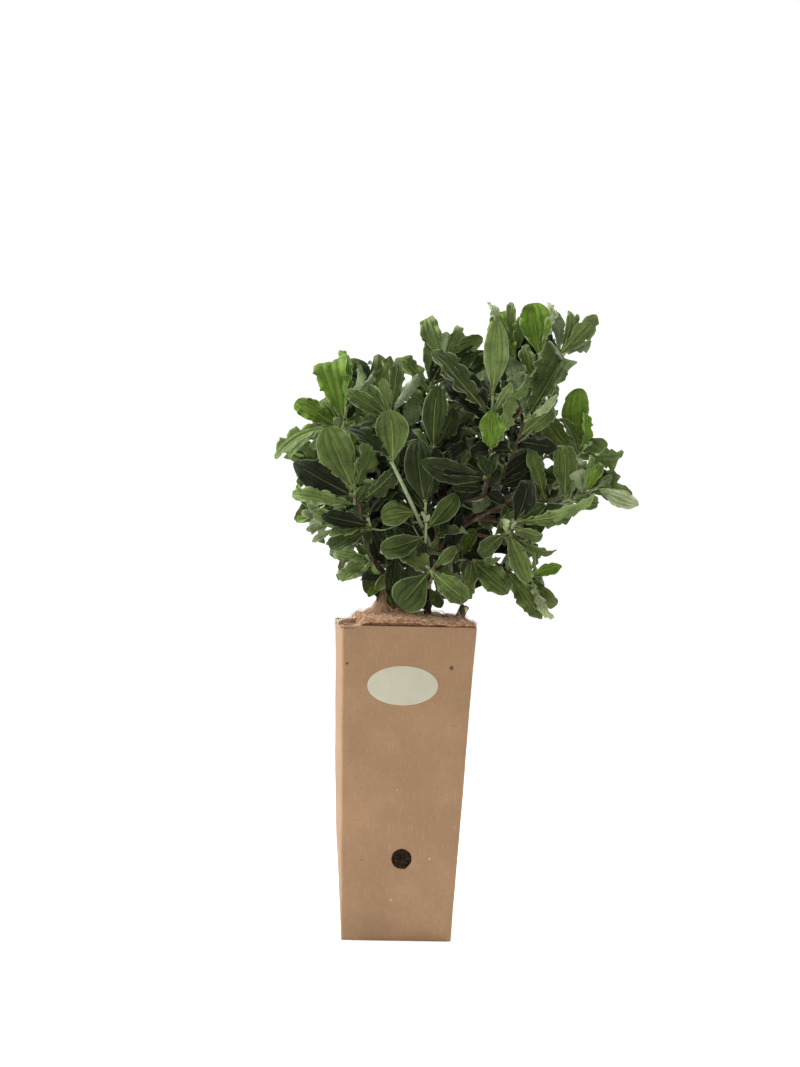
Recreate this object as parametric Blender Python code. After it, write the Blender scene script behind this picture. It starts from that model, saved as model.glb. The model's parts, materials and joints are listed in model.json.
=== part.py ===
"""Potted rock rose: a young evergreen shrub in a tall tapered pot of kraft board.

Metres, +Z up, -Y to the front. The origin is the middle of the pot's flat underside.
The plant grows from three stems. Each limb and each leafy shoot is a row of named sizes,
in millimetres, and the leaves follow one rule: opposite pairs, each pair turned a quarter
from the last, tried at a few slants and left out where they would touch something.
"""

import math
import random
from typing import NamedTuple

import bmesh
import bpy
from mathutils import Matrix, Vector, noise
from mathutils.bvhtree import BVHTree

MM = 0.001
GAP = 0.3 * MM  # air between neighbouring solids

# Pot: a square, tapered tube of board, a little twisted and bulged by the soil in it
POT_HEIGHT = 295 * MM
POT_TOP_SIDE = 126 * MM
POT_FOOT_SIDE = 103 * MM
POT_TOP_TURN = math.radians(5.3)
POT_FOOT_TURN = math.radians(2.1)
POT_LEAN = 2 * MM  # sideways shift of the rim
POT_BULGE = 4.5 * MM
POT_CORNER = 2.5 * MM
BOARD = 2.2 * MM
POT_LEVELS = 5
SIDE_STEPS = 4

# Drain hole and label on the front panel: share of the half width, height, size
HOLE_ACROSS = 0.03
HOLE_HEIGHT = 78 * MM
HOLE_RADIUS = 9.5 * MM
HOLE_POINTS = 20
LABEL_ACROSS = -0.07
LABEL_HEIGHT = 240 * MM
LABEL_WIDTH = 66 * MM
LABEL_TALL = 36.5 * MM
LABEL_THICK = 0.5 * MM
LABEL_POINTS = 28

# Soil, and the mat of coconut fibre on it
SOIL_TOP = POT_HEIGHT - 14 * MM
SOIL_CLEAR = 0.6 * MM
MAT_RISE = 3.5 * MM
MAT_MOUND = 22 * MM
MAT_MOUND_REACH = 16 * MM
MAT_LUMP = 1.6 * MM
MAT_RINGS = 5

# Twisted end of fibre that stands out of the mat near its right edge
TWIST_POINTS = ((54, 14, 292), (57, 13, 301), (61.5, 12, 311.5))
TWIST_FOOT_RADIUS = 4.0 * MM
TWIST_TIP_RADIUS = 4.7 * MM
TWIST_SIDES = 8

# Leaf
LEAF_SLENDER = 0.41  # width for length
LEAF_ROUNDER = 0.13  # added to it for the leaves near the pot
ROUND_BELOW = 440 * MM
ROUND_REACH = 90 * MM
LEAF_THICK = 1.2 * MM
LEAF_ROOT = 0.95 * MM
LEAF_BEND = math.radians(34)
LEAF_STATIONS = (0.0, 0.32, 0.74)
TURNS_AWAY = math.radians(115)  # a blade that looks further from the light than this hardly turns
AWAY_SHARE = 0.15
LOW_LEAF_LEAST = 26
LOW_LEAF_SHRINK = 0.88
LOW_LEAF_SLANT = 82
LOW_GAP = 17
BARE_FOOT = 11 * MM
CLEAR = 0.35 * MM
TRIES = (
    (0, 0),
    (8, 0),
    (-8, 0),
    (0, 14),
    (0, -14),
    (14, 10),
    (14, -10),
    (-12, 20),
    (-12, -20),
    (22, 0),
)

LIMB_SIDES = 7
TWIG_SIDES = 5
TWIG_FOOT = 1.35 * MM
TWIG_TIP = 0.95 * MM


class Limb(NamedTuple):
    """A stem or bough: where it leaves its parent, the points it passes, and its radii."""

    name: str
    parent: str
    at: float
    points: tuple
    foot_radius: float
    tip_radius: float


class Shoot(NamedTuple):
    """A leafy shoot: where it leaves its limb, one point that it passes, and its tip.
    turn is the tip pair's heading about the shoot, face the share by which its blades turn
    to the light, gap the step from pair to pair, and pairs are (leaf length, slant from the
    shoot in degrees), from the tip down."""

    name: str
    parent: str
    at: float
    bend: tuple
    tip: tuple
    turn: float
    face: float
    gap: float
    pairs: tuple


LIMBS = (
    Limb("main_stem", "", 0,
         ((25, -8, 281.3), (25, -9, 337), (28, -6, 371), (36, 0, 410), (40, 6, 436)), 3.2, 2.0),
    Limb("left_stem", "", 0,
         ((-13, 4, 281.3), (-20, 4, 334), (-32, -2, 366), (-40, -12, 395), (-43, -24, 412)), 2.6, 1.6),
    Limb("back_stem", "", 0,
         ((2, 34, 281.3), (5, 42, 345), (12, 52, 395), (15, 60, 445)), 2.6, 1.6),
    Limb("right_bough", "main_stem", 0.52,
         ((50, -4, 384), (75, -14, 400), (103, -20, 416)), 1.9, 1.4),
    Limb("front_bough", "main_stem", 0.62,
         ((44, -20, 409), (75, -40, 418), (78, -56, 435)), 1.8, 1.4),
    Limb("top_bough", "main_stem", 1.0,
         ((63, 10, 454), (92, 8, 478), (101, 6, 494)), 1.8, 1.4),
    Limb("low_right_bough", "main_stem", 0.38,
         ((46, 6, 356), (65, 12, 362), (90, 14, 355)), 1.7, 1.3),
    Limb("upper_left_bough", "left_stem", 0.7,
         ((-51, 10, 432), (-56, 14, 457), (-58, 14, 471)), 1.5, 1.3),
    Limb("centre_bough", "main_stem", 0.85,
         ((26, -10, 433), (14, -4, 462), (-2, 0, 479)), 1.6, 1.3),
    Limb("back_right_bough", "back_stem", 0.55,
         ((47, 73, 416), (88, 89, 438), (109, 95, 455)), 1.7, 1.3),
    Limb("back_left_bough", "back_stem", 0.6,
         ((-19, 73, 415), (-51, 85, 435), (-67, 89, 450)), 1.7, 1.3),
)

SHOOTS = (
    Shoot("front_long", "main_stem", 0.55, (6, -50, 411), (-13, -88, 447),
          64, 0.7, 90, ((58, 22),)),
    Shoot("centre_tall", "front_bough", 1.0, (80, -48, 468), (80, -56, 512),
          257, 0.15, 22, ((73, 15), (86, 30), (65, 28), (60, 70))),
    Shoot("left_front", "left_stem", 1.0, (-47, -37, 408), (-47, -37, 427),
          288, 1.0, 10, ((68, 26), (70, 56), (56, 75), (50, 85))),
    Shoot("left_top", "upper_left_bough", 1.0, (-61, 12, 478), (-58, -6, 502),
          327, 0.7, 12, ((65, 29), (64, 30), (44, 70))),
    Shoot("right_low", "right_bough", 0.35, (91, -41, 380), (104, -64, 395),
          310, 0.1, 10, ((79, 43), (57, 80), (46, 80))),
    Shoot("right_dark", "right_bough", 0.3, (91, -15, 433), (112, -50, 492),
          304, 0.7, 18, ((76, 23), (51, 22), (50, 75))),
    Shoot("front_centre", "centre_bough", 0.5, (26, -36, 451), (27, -42, 464),
          78, 0.7, 14, ((60, 15), (50, 50), (46, 60))),
    Shoot("front_dark", "main_stem", 0.72, (20, -38, 398), (20, -51, 411),
          65, 0.7, 20, ((62, 15), (50, 60))),
    Shoot("left_mid", "left_stem", 0.8, (-31, -36, 385), (-34, -42, 396),
          316, 0.7, 10, ((52, 64), (58, 68), (44, 90))),
    Shoot("left_far", "upper_left_bough", 0.55, (-52, 31, 475), (-75, 12, 482),
          44, 0.5, 10, ((53, 41), (49, 37), (40, 80))),
    Shoot("front_mid", "main_stem", 0.42, (21, -34, 364), (21, -45, 392),
          309, 0.7, 26, ((52, 52), (52, 86))),
    Shoot("front_low", "main_stem", 0.3, (28, -54, 343), (26, -51, 348),
          321, 0.7, 9, ((50, 105), (44, 80))),
    Shoot("left_front_low", "left_stem", 0.33, (-13, -16, 340), (-7, -39, 362),
          84, 0.7, 8, ((42, 74), (38, 90))),
    Shoot("low_right", "low_right_bough", 1.0, (114, 1, 340), (127, -4, 344),
          255, 1.0, 12, ((40, 42), (44, 72), (52, 80))),
    Shoot("right_far", "right_bough", 1.0, (149, -25, 415), (183, -30, 429),
          18, 1.0, 12, ((38, 41), (41, 68), (46, 75))),
    Shoot("right_top", "right_bough", 0.9, (142, 3, 430), (170, 4, 464),
          312, 1.0, 14, ((68, 44), (62, 54), (46, 80))),
    Shoot("top_mid", "top_bough", 0.72, (117, -10, 508), (126, -27, 557),
          64, 0.7, 14, ((52, 15), (50, 24), (40, 60))),
    Shoot("top_right", "top_bough", 1.0, (119, 4, 519), (149, 7, 562),
          354, 0.7, 14, ((49, 15), (52, 39), (44, 60))),
    Shoot("top_centre", "top_bough", 0.6, (106, 18, 507), (104, 9, 564),
          316, 0.7, 12, ((46, 39), (66, 15), (44, 60))),
    Shoot("top_left", "top_bough", 0.45, (21, 30, 506), (37, 22, 559),
          290, 0.7, 20, ((47, 47), (37, 25), (42, 15), (44, 70))),
    Shoot("centre_left", "centre_bough", 1.0, (-9, 5, 474), (-16, -14, 497),
          358, 0.4, 11, ((49, 26), (45, 19), (40, 60))),
    Shoot("centre_dark", "main_stem", 0.85, (74, -28, 415), (77, -33, 432),
          316, 0.5, 12, ((72, 63), (62, 70))),
    Shoot("right_mid", "right_bough", 0.6, (128, -17, 392), (133, -34, 407),
          41, 0.3, 12, ((63, 22), (50, 70))),
    Shoot("right_under", "right_bough", 0.75, (132, -12, 407), (155, -6, 426),
          340, 0.7, 10, ((44, 41), (44, 70))),
    Shoot("low_mid", "low_right_bough", 0.55, (68, -17, 353), (67, -17, 358),
          57, 0.9, 12, ((53, 103), (44, 80))),
    Shoot("left_foot", "left_stem", 0.4, (-27, 4, 344), (-35, -17, 360),
          320, 0.9, 10, ((42, 55), (43, 70))),
    Shoot("left_low", "left_stem", 0.62, (-39, 6, 367), (-43, 10, 373),
          20, 0.7, 12, ((42, 45), (40, 80))),
    Shoot("foot_leaf", "main_stem", 0.18, (28, -13, 321), (35, -16, 330),
          355, 0.7, 8, ((21, 112),)),
    Shoot("low_back", "low_right_bough", 0.3, (67, 21, 365), (84, 30, 374),
          27, 0.7, 14, ((44, 52), (44, 80))),
    Shoot("left_back_low", "left_stem", 0.5, (-56, 52, 375), (-84, 53, 396),
          336, 0.7, 12, ((34, 34), (33, 74), (32, 80))),
    Shoot("back_top", "back_stem", 1.0, (26, 62, 478), (31, 65, 539),
          30, 0.7, 20, ((52, 24), (56, 42), (54, 60), (50, 75))),
    Shoot("back_top_left", "back_left_bough", 1.0, (-44, 83, 483), (-30, 81, 526),
          55, 0.7, 18, ((44, 26), (48, 44), (50, 65))),
    Shoot("back_left", "back_left_bough", 0.6, (-72, 90, 436), (-92, 97, 459),
          20, 0.7, 16, ((46, 50), (48, 65), (44, 85))),
    Shoot("back_mid", "back_stem", 0.7, (-7, 91, 439), (-17, 111, 498),
          70, 0.7, 18, ((52, 32), (54, 50), (50, 75))),
    Shoot("back_low_left", "back_stem", 0.35, (-28, 84, 364), (-44, 105, 405),
          10, 0.7, 14, ((46, 45), (46, 75))),
    Shoot("back_right_top", "back_right_bough", 1.0, (106, 91, 491), (104, 89, 536),
          10, 0.7, 20, ((54, 28), (56, 44), (54, 60))),
    Shoot("back_right", "back_right_bough", 0.75, (127, 98, 446), (149, 105, 470),
          50, 0.7, 16, ((52, 36), (54, 60), (48, 80))),
    Shoot("back_right_low", "back_right_bough", 0.35, (80, 101, 399), (101, 118, 410),
          20, 0.7, 14, ((48, 50), (48, 80))),
    Shoot("back_centre", "back_right_bough", 0.5, (57, 106, 455), (59, 121, 503),
          70, 0.7, 16, ((50, 34), (52, 55), (48, 80))),
    Shoot("back_low", "back_stem", 0.2, (19, 74, 330), (26, 92, 359),
          30, 0.7, 12, ((42, 60), (40, 90))),
)


# Paths and frames

def curve_through(points, step):
    """Points about step apart on the smooth curve that passes through the given ones."""
    ends = [2 * points[0] - points[1], *points, 2 * points[-1] - points[-2]]
    out = [points[0].copy()]
    for a, b, c, d in zip(ends, ends[1:], ends[2:], ends[3:]):
        count = max(1, round((c - b).length / step))
        for i in range(1, count + 1):
            t = i / count
            out.append(0.5 * (2 * b + (c - a) * t + (2 * a - 5 * b + 4 * c - d) * t * t
                              + (3 * b - a - 3 * c + d) * t ** 3))
    return out


def along(path, distance):
    """The point at that distance along a path, and the path's direction there."""
    for a, b in zip(path, path[1:]):
        length = (b - a).length
        if distance <= length or b is path[-1]:
            break
        distance -= length
    way = (b - a).normalized()
    return a + way * min(distance, length), way


def path_length(path):
    return sum((b - a).length for a, b in zip(path, path[1:]))


def frames(path):
    """A direction, side and front at each point of a path, turning as little as they can."""
    ways = [(b - a).normalized() for a, b in zip(path, path[1:])]
    ways = [ways[0], *((a + b).normalized() for a, b in zip(ways, ways[1:])), ways[-1]]
    front = front_of(ways[0])
    out = []
    for way in ways:
        front = (front - way * front.dot(way)).normalized()
        out.append((way, way.cross(front), front))
    return out


def front_of(way):
    """The direction square to way that looks most to the front of the plant."""
    front = Vector((0, -1, 0)) - way * -way.y
    return front.normalized() if front.length > 0.2 else (Vector((0, 0, 1)) - way * way.z).normalized()


# Meshes

def tube(path, radii, sides, grow=0.0):
    """Points and faces of a closed tapering tube, larger all round by grow."""
    points = []
    places = frames(path)
    for i, (point, radius) in enumerate(zip(path, radii)):
        way, side, front = places[i]
        middle = point + way * (grow if i == len(path) - 1 else -grow if i == 0 else 0.0)
        for k in range(sides):
            turn = 2 * math.pi * k / sides
            points.append(middle + (side * math.cos(turn) + front * math.sin(turn)) * (radius + grow))
    return points, loft_faces(len(path), sides)


def loft_faces(rings, sides):
    """Faces of rings of equally many points joined in order, with both ends closed."""
    faces = [tuple(reversed(range(sides))), tuple(range((rings - 1) * sides, rings * sides))]
    for r in range(rings - 1):
        for k in range(sides):
            a, b = r * sides + k, r * sides + (k + 1) % sides
            faces.append((a, b, b + sides, a + sides))
    return faces


def mesh_object(name, points, faces, material=None):
    mesh = bpy.data.meshes.new(name)
    mesh.from_pydata([tuple(p) for p in points], [], faces)
    work = bmesh.new()
    work.from_mesh(mesh)
    bmesh.ops.recalc_face_normals(work, faces=work.faces)
    work.to_mesh(mesh)
    work.free()
    made = bpy.data.objects.new(name, mesh)
    bpy.context.scene.collection.objects.link(made)
    if material:
        mesh.materials.append(material)
    return made


def combine(target, others, operation, solver="EXACT"):
    """Applies one Boolean of target with all the others, and removes them."""
    group = bpy.data.collections.new("operands")
    bpy.context.scene.collection.children.link(group)
    for other in others:
        group.objects.link(other)
        bpy.context.scene.collection.objects.unlink(other)
    change = target.modifiers.new(operation.lower(), "BOOLEAN")
    change.operation = operation
    change.operand_type = "COLLECTION"
    change.collection = group
    change.solver = solver
    graph = bpy.context.evaluated_depsgraph_get()
    made = bpy.data.meshes.new_from_object(target.evaluated_get(graph))
    target.modifiers.remove(change)
    target.data = made
    for other in others:
        bpy.data.objects.remove(other)
    bpy.data.collections.remove(group)


def keep_largest_piece(made):
    """Drops every loose piece but the largest, such as the skin of a pocket between two leaf roots."""
    work = bmesh.new()
    work.from_mesh(made.data)
    pieces, left = [], set(work.verts)
    while left:
        piece, edge = set(), [left.pop()]
        while edge:
            point = edge.pop()
            piece.add(point)
            near = {side.other_vert(point) for side in point.link_edges} & left
            left -= near
            edge.extend(near)
        pieces.append(piece)
    pieces.sort(key=len)
    bmesh.ops.delete(work, geom=[point for piece in pieces[:-1] for point in piece], context="VERTS")
    work.to_mesh(made.data)
    work.free()


def finish(name, colour, roughness):
    """A plain material of that colour and roughness."""
    made = bpy.data.materials.new(name)
    made.use_nodes = True
    shader = made.node_tree.nodes["Principled BSDF"]
    shader.inputs["Base Color"].default_value = (*colour, 1)
    shader.inputs["Roughness"].default_value = roughness
    return made


# Pot, label, soil and mat

def level_point(corner_share, inset, share):
    """A point of the pot's wall at one of the levels of its mesh. corner_share runs 0 to 4 round
    it, one for each panel from the front left corner on; inset is the depth below the outer face."""
    half = (POT_FOOT_SIDE + (POT_TOP_SIDE - POT_FOOT_SIDE) * share) / 2 - inset
    turn = POT_FOOT_TURN + (POT_TOP_TURN - POT_FOOT_TURN) * share
    panel = int(corner_share) % 4
    across = 2 * (corner_share - int(corner_share)) - 1
    bulge = POT_BULGE * math.sin(math.pi * share) * (1 - across * across)
    cut = max(POT_CORNER - inset, 0.6 * MM) if abs(across) > 0.999 else 0.0
    flat = Vector((across * half - math.copysign(cut, across), -half - bulge, 0))
    place = Matrix.Rotation(turn + panel * math.pi / 2, 3, "Z") @ flat
    return place + Vector((POT_LEAN * share, 0, POT_HEIGHT * share))


def pot_point(corner_share, inset, height):
    """A point of the pot's wall at any height: straight between the levels."""
    level = height / POT_HEIGHT * POT_LEVELS
    below = min(max(math.floor(level), 0), POT_LEVELS - 1)
    lower, upper = (level_point(corner_share, inset, (below + i) / POT_LEVELS) for i in range(2))
    return lower.lerp(upper, level - below)


def pot_ring(inset, height):
    """The wall's outline at one height, with each corner cut."""
    ring = []
    for panel in range(4):
        for i in range(SIDE_STEPS + 1):
            ring.append(pot_point(panel + min(i / SIDE_STEPS, 0.9999999), inset, height))
    return ring


def block(name, inset, heights, material=None):
    """A solid between the given heights, as far inside the pot's outer face as inset."""
    rings = [pot_ring(inset, z) for z in heights]
    points = [p for ring in rings for p in ring]
    return mesh_object(name, points, loft_faces(len(rings), len(rings[0])), material)


def pot(board):
    levels = [POT_HEIGHT * i / POT_LEVELS for i in range(POT_LEVELS + 1)]
    made = block("pot", 0, levels, board)
    inner, outer = (pot_point(0.5 + HOLE_ACROSS / 2, depth, HOLE_HEIGHT)
                    for depth in (3 * BOARD, -3 * BOARD))
    drill = mesh_object("drill", *tube([inner, outer], [HOLE_RADIUS] * 2, HOLE_POINTS))
    room = block("room", BOARD, (BOARD, *levels[1:-1], SOIL_TOP, POT_HEIGHT + 4 * BOARD))
    combine(made, [drill, room], "DIFFERENCE")
    return made


def label(paper):
    rings = []
    for depth in (-GAP, -GAP - LABEL_THICK):
        ring = []
        for k in range(LABEL_POINTS):
            turn = 2 * math.pi * k / LABEL_POINTS
            height = LABEL_HEIGHT + LABEL_TALL / 2 * math.sin(turn)
            half = (POT_FOOT_SIDE + (POT_TOP_SIDE - POT_FOOT_SIDE) * height / POT_HEIGHT) / 2
            across = LABEL_ACROSS + LABEL_WIDTH / 2 * math.cos(turn) / half
            ring.append(pot_point(0.5 + across / 2, depth, height))
        rings.append(ring)
    count = LABEL_POINTS
    points = [p for ring in rings for p in ring]
    middles = [pot_point(0.5 + LABEL_ACROSS / 2, depth, LABEL_HEIGHT)
               for depth in (-GAP, -GAP - LABEL_THICK)]
    faces = loft_faces(2, count)[2:]
    for k in range(count):
        after = (k + 1) % count
        faces.append((k, after, 2 * count))
        faces.append((count + k, count + after, 2 * count + 1))
    return mesh_object("label", points + middles, faces, paper)


def soil(earth):
    levels = [POT_HEIGHT * i / POT_LEVELS for i in range(1, POT_LEVELS)]
    return block("soil", BOARD + SOIL_CLEAR, (BOARD + GAP, *levels, SOIL_TOP), earth)


def mat_height(x, y):
    """Top of the fibre mat above the rim: lumps, and a mound drawn up round the left stem."""
    foot = LIMBS[1].points[0]
    away = math.hypot(x - foot[0] * MM + 4 * MM, y - foot[1] * MM) / MAT_MOUND_REACH
    lumps = noise.noise(Vector((x, y, 0)) / (14 * MM)) + 0.5 * noise.noise(Vector((y, x, 9)) / (6 * MM))
    return POT_HEIGHT + MAT_RISE + MAT_MOUND * math.exp(-away * away) + MAT_LUMP * lumps - 0.02 * x


def fibre_mat(fibre, holes):
    """A mat that fills the pot's mouth, lies just over the rim, and has a hole for each stem."""
    def lifted(share, height=None):
        ring = []
        centre = Vector((POT_LEAN, 0, 0))
        for p in pot_ring(-0.6 * MM, POT_HEIGHT):
            x, y = centre.x + (p.x - centre.x) * share, p.y * share
            ring.append(Vector((x, y, mat_height(x, y) if height is None else height)))
        return ring

    inside = BOARD + SOIL_CLEAR
    rings = [pot_ring(inside, SOIL_TOP + GAP), pot_ring(inside, POT_HEIGHT + GAP)]
    rings.append(lifted(1.0, POT_HEIGHT + GAP))
    rings += [lifted(1 - (i / MAT_RINGS) ** 1.3 * 0.93) for i in range(MAT_RINGS + 1)]
    for p in rings[3]:
        p.z = POT_HEIGHT + MAT_RISE * 0.6
    points = [p for ring in rings for p in ring]
    made = mesh_object("fibre_mat", points, loft_faces(len(rings), len(rings[0])), fibre)
    combine(made, holes, "DIFFERENCE")
    return made


# Limbs

class Grown(NamedTuple):
    """A limb or shoot as grown: its path and the radius at each point."""

    path: list
    radii: list


def radii_of(path, foot, tip, flare=0.0):
    """A radius for each point of a path, tapering from foot to tip, wider by flare at the foot."""
    whole = path_length(path)
    out, done = [], 0.0
    for i, point in enumerate(path):
        done += (point - path[i - 1]).length if i else 0.0
        share = done / whole
        out.append(foot + (tip - foot) * share + flare * math.exp(-done / (9 * MM)))
    return out


def vectors(points):
    return [Vector(p) * MM for p in points]


def grow_limbs():
    grown = {}
    for limb in LIMBS:
        points = vectors(limb.points)
        if limb.parent:
            whole = path_length(grown[limb.parent].path)
            points.insert(0, along(grown[limb.parent].path, whole * limb.at)[0])
        else:
            points.insert(1, points[0] + Vector((0, 0, 5 * MM)))
        path = curve_through(points, 16 * MM)
        foot, tip = limb.foot_radius * MM, limb.tip_radius * MM
        grown[limb.name] = Grown(path, radii_of(path, foot, tip, 0.0 if limb.parent else 0.35 * foot))
    return grown


def grow_shoots(limbs):
    grown = {}
    for shoot in SHOOTS:
        parent = limbs[shoot.parent]
        start = along(parent.path, path_length(parent.path) * shoot.at)[0]
        path = curve_through([start, *vectors((shoot.bend, shoot.tip))], 20 * MM)
        grown[shoot.name] = Grown(path, radii_of(path, TWIG_FOOT, TWIG_TIP))
    return grown


def limb_object(name, own, parent, sides, material):
    """The solid of a limb, cut clear of the limb that it leaves."""
    made = mesh_object(name, *tube(own.path, own.radii, sides), material)
    if parent:
        cutter = mesh_object("cutter", *tube(parent.path, parent.radii, LIMB_SIDES, GAP))
        combine(made, [cutter], "DIFFERENCE")
    return made


# Leaves

class Leaf(NamedTuple):
    """A leaf: its root, the way it sets out, its upper face's normal there, and its size."""

    root: Vector
    way: Vector
    up: Vector
    length: float
    width: float
    bend: float


def leaf_width(share):
    """Half width for a width of 1, at that share of the length."""
    return 0.5 * math.sin(math.pi * share ** 1.2) ** 0.5


def leaf_line(leaf, share):
    """The midrib's point and the upper face's normal at that share of the length."""
    turn = leaf.bend * share
    ahead = leaf.length / leaf.bend * math.sin(turn)
    down = leaf.length / leaf.bend * (1 - math.cos(turn))
    point = leaf.root + leaf.way * ahead - leaf.up * down
    return point, leaf.up * math.cos(turn) + leaf.way * math.sin(turn)


def leaf_mesh(leaf, stations, grow=0.0):
    """Points and faces of a thin blade, keeled below, that ends in a point."""
    side = leaf.way.cross(leaf.up)
    points = []
    for share in stations:
        point, up = leaf_line(leaf, share)
        half = max(leaf.width * leaf_width(share), LEAF_ROOT) + grow
        thick = LEAF_THICK * (1 - 0.3 * share) + 2 * grow
        top = point + up * grow
        points += [top - side * half, top + side * half, top - up * thick]
    tip, up = leaf_line(leaf, 1.0)
    faces = loft_faces(len(stations), 3)
    last = len(points) - 3
    faces.remove(tuple(range(last, last + 3)))
    faces += [(last + k, last + (k + 1) % 3, len(points)) for k in range(3)]
    return points + [tip], faces


def bvh_of(points, faces):
    return BVHTree.FromPolygons([tuple(p) for p in points], faces)


class Obstacles:
    """The solids that a leaf must keep clear of, each with its bounding box."""

    def __init__(self):
        self.items = []

    def add(self, owner, points, faces):
        low = Vector(min(p[i] for p in points) for i in range(3))
        high = Vector(max(p[i] for p in points) for i in range(3))
        self.items.append((owner, low, high, bvh_of(points, faces)))

    def touches(self, points, faces, wanted):
        """Whether a mesh meets any solid whose owner is wanted."""
        low = Vector(min(p[i] for p in points) for i in range(3))
        high = Vector(max(p[i] for p in points) for i in range(3))
        tree = None
        for owner, other_low, other_high, other in self.items:
            apart = any(low[i] > other_high[i] or high[i] < other_low[i] for i in range(3))
            if apart or not wanted(owner):
                continue
            tree = tree or bvh_of(points, faces)
            if tree.overlap(other):
                return True
        return False


def light_at(point):
    """The way that a blade near that point turns: up, and out to the nearer open side."""
    light = Vector((point.x / (220 * MM), -1.0 if point.y < 40 * MM else 1.0, 0.5))
    return light.normalized()


def leaf_at(point, way, heading, slant, length, face, dice):
    """A leaf that leaves a shoot at point with that heading about it and slant from it."""
    front = front_of(way)
    side = way.cross(front)
    out = side * math.cos(heading) + front * math.sin(heading)
    ahead = way * math.cos(slant) + out * math.sin(slant)
    up = way * math.sin(slant) - out * math.cos(slant)
    light = light_at(point)
    light -= ahead * light.dot(ahead)
    if light.length > 0.1:
        light.normalize()
        turn = math.atan2(up.cross(light).dot(ahead), up.dot(light))
        share = face if abs(turn) < TURNS_AWAY else AWAY_SHARE
        up = Matrix.Rotation(turn * share, 3, ahead) @ up
    slender = LEAF_SLENDER + LEAF_ROUNDER * min(max((ROUND_BELOW - point.z) / ROUND_REACH, 0.0), 1.0)
    size = length * dice.uniform(0.95, 1.05)
    return Leaf(point - ahead * 0.3 * MM, ahead, up, size, size * slender * dice.uniform(0.93, 1.1),
                LEAF_BEND * dice.uniform(0.5, 1.5))


def pair_rows(shoot, whole):
    """(place along the shoot, length, slant) of each pair: those named, then smaller ones to its foot."""
    rows = [(whole - (0.8 + shoot.gap * k) * MM, *pair) for k, pair in enumerate(shoot.pairs)]
    gap = max(shoot.gap, LOW_GAP) * MM
    while rows[-1][0] - gap > BARE_FOOT:
        place, length, slant = rows[-1]
        length = max(length * LOW_LEAF_SHRINK, LOW_LEAF_LEAST)
        rows.append((place - gap, length, max(slant, LOW_LEAF_SLANT)))
    return rows


def leaf_tries(shoot, own):
    """For each leaf of a shoot, from the tip down, the slants and headings to try."""
    for k, (place, length, slant) in enumerate(pair_rows(shoot, path_length(own.path))):
        for i in range(2):
            point, way = along(own.path, max(place - 0.8 * i * MM, 2 * MM))
            dice = random.Random(f"{shoot.name} {k} {i}")
            heading = shoot.turn + 90 * k + 180 * i + dice.uniform(-7, 7)
            lean = slant + dice.uniform(-5, 5)
            size = random.Random(f"{shoot.name} {k} {i} size").getstate()
            tries = []
            for more_slant, more_heading in TRIES:
                dice.setstate(size)
                tries.append(leaf_at(point, way, math.radians(heading + more_heading),
                                     math.radians(lean + more_slant), length * MM, shoot.face, dice))
            yield k, i, tries


def grow_leaves(limbs, shoots):
    """The leaves of each shoot, by the rule of opposite pairs."""
    taken = Obstacles()
    for name, own in limbs.items():
        taken.add(name, *tube(own.path, own.radii, LIMB_SIDES))
    for name, own in shoots.items():
        taken.add(name, *tube(own.path, own.radii, TWIG_SIDES))
    leaves = {}
    whole, free = ((share, *LEAF_STATIONS[1:]) for share in (0.01, 0.1))
    for shoot in SHOOTS:
        kept = []
        for _, _, tries in leaf_tries(shoot, shoots[shoot.name]):
            for leaf in tries:
                own_names = (shoot.name, shoot.name + " root")
                others = taken.touches(*leaf_mesh(leaf, whole, CLEAR),
                                       lambda owner: owner not in own_names)
                own_blades = taken.touches(*leaf_mesh(leaf, free, CLEAR),
                                           lambda owner: owner == shoot.name)
                if not others and not own_blades:
                    taken.add(shoot.name, *leaf_mesh(leaf, free))
                    roots = leaf_mesh(leaf, whole)
                    taken.add(shoot.name + " root", roots[0][:6], loft_faces(2, 3))
                    kept.append(leaf)
                    break
        leaves[shoot.name] = kept
    return leaves


def mass_object(shoot, own, parent, leaves, material):
    """One shoot with its leaves fused on, cut clear of the limb that it leaves."""
    made = limb_object(shoot.name, own, parent, TWIG_SIDES, material)
    blades = [mesh_object(f"blade{i}", *leaf_mesh(leaf, LEAF_STATIONS)) for i, leaf in enumerate(leaves)]
    combine(made, blades, "UNION", "MANIFOLD")
    keep_largest_piece(made)
    return made


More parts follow.
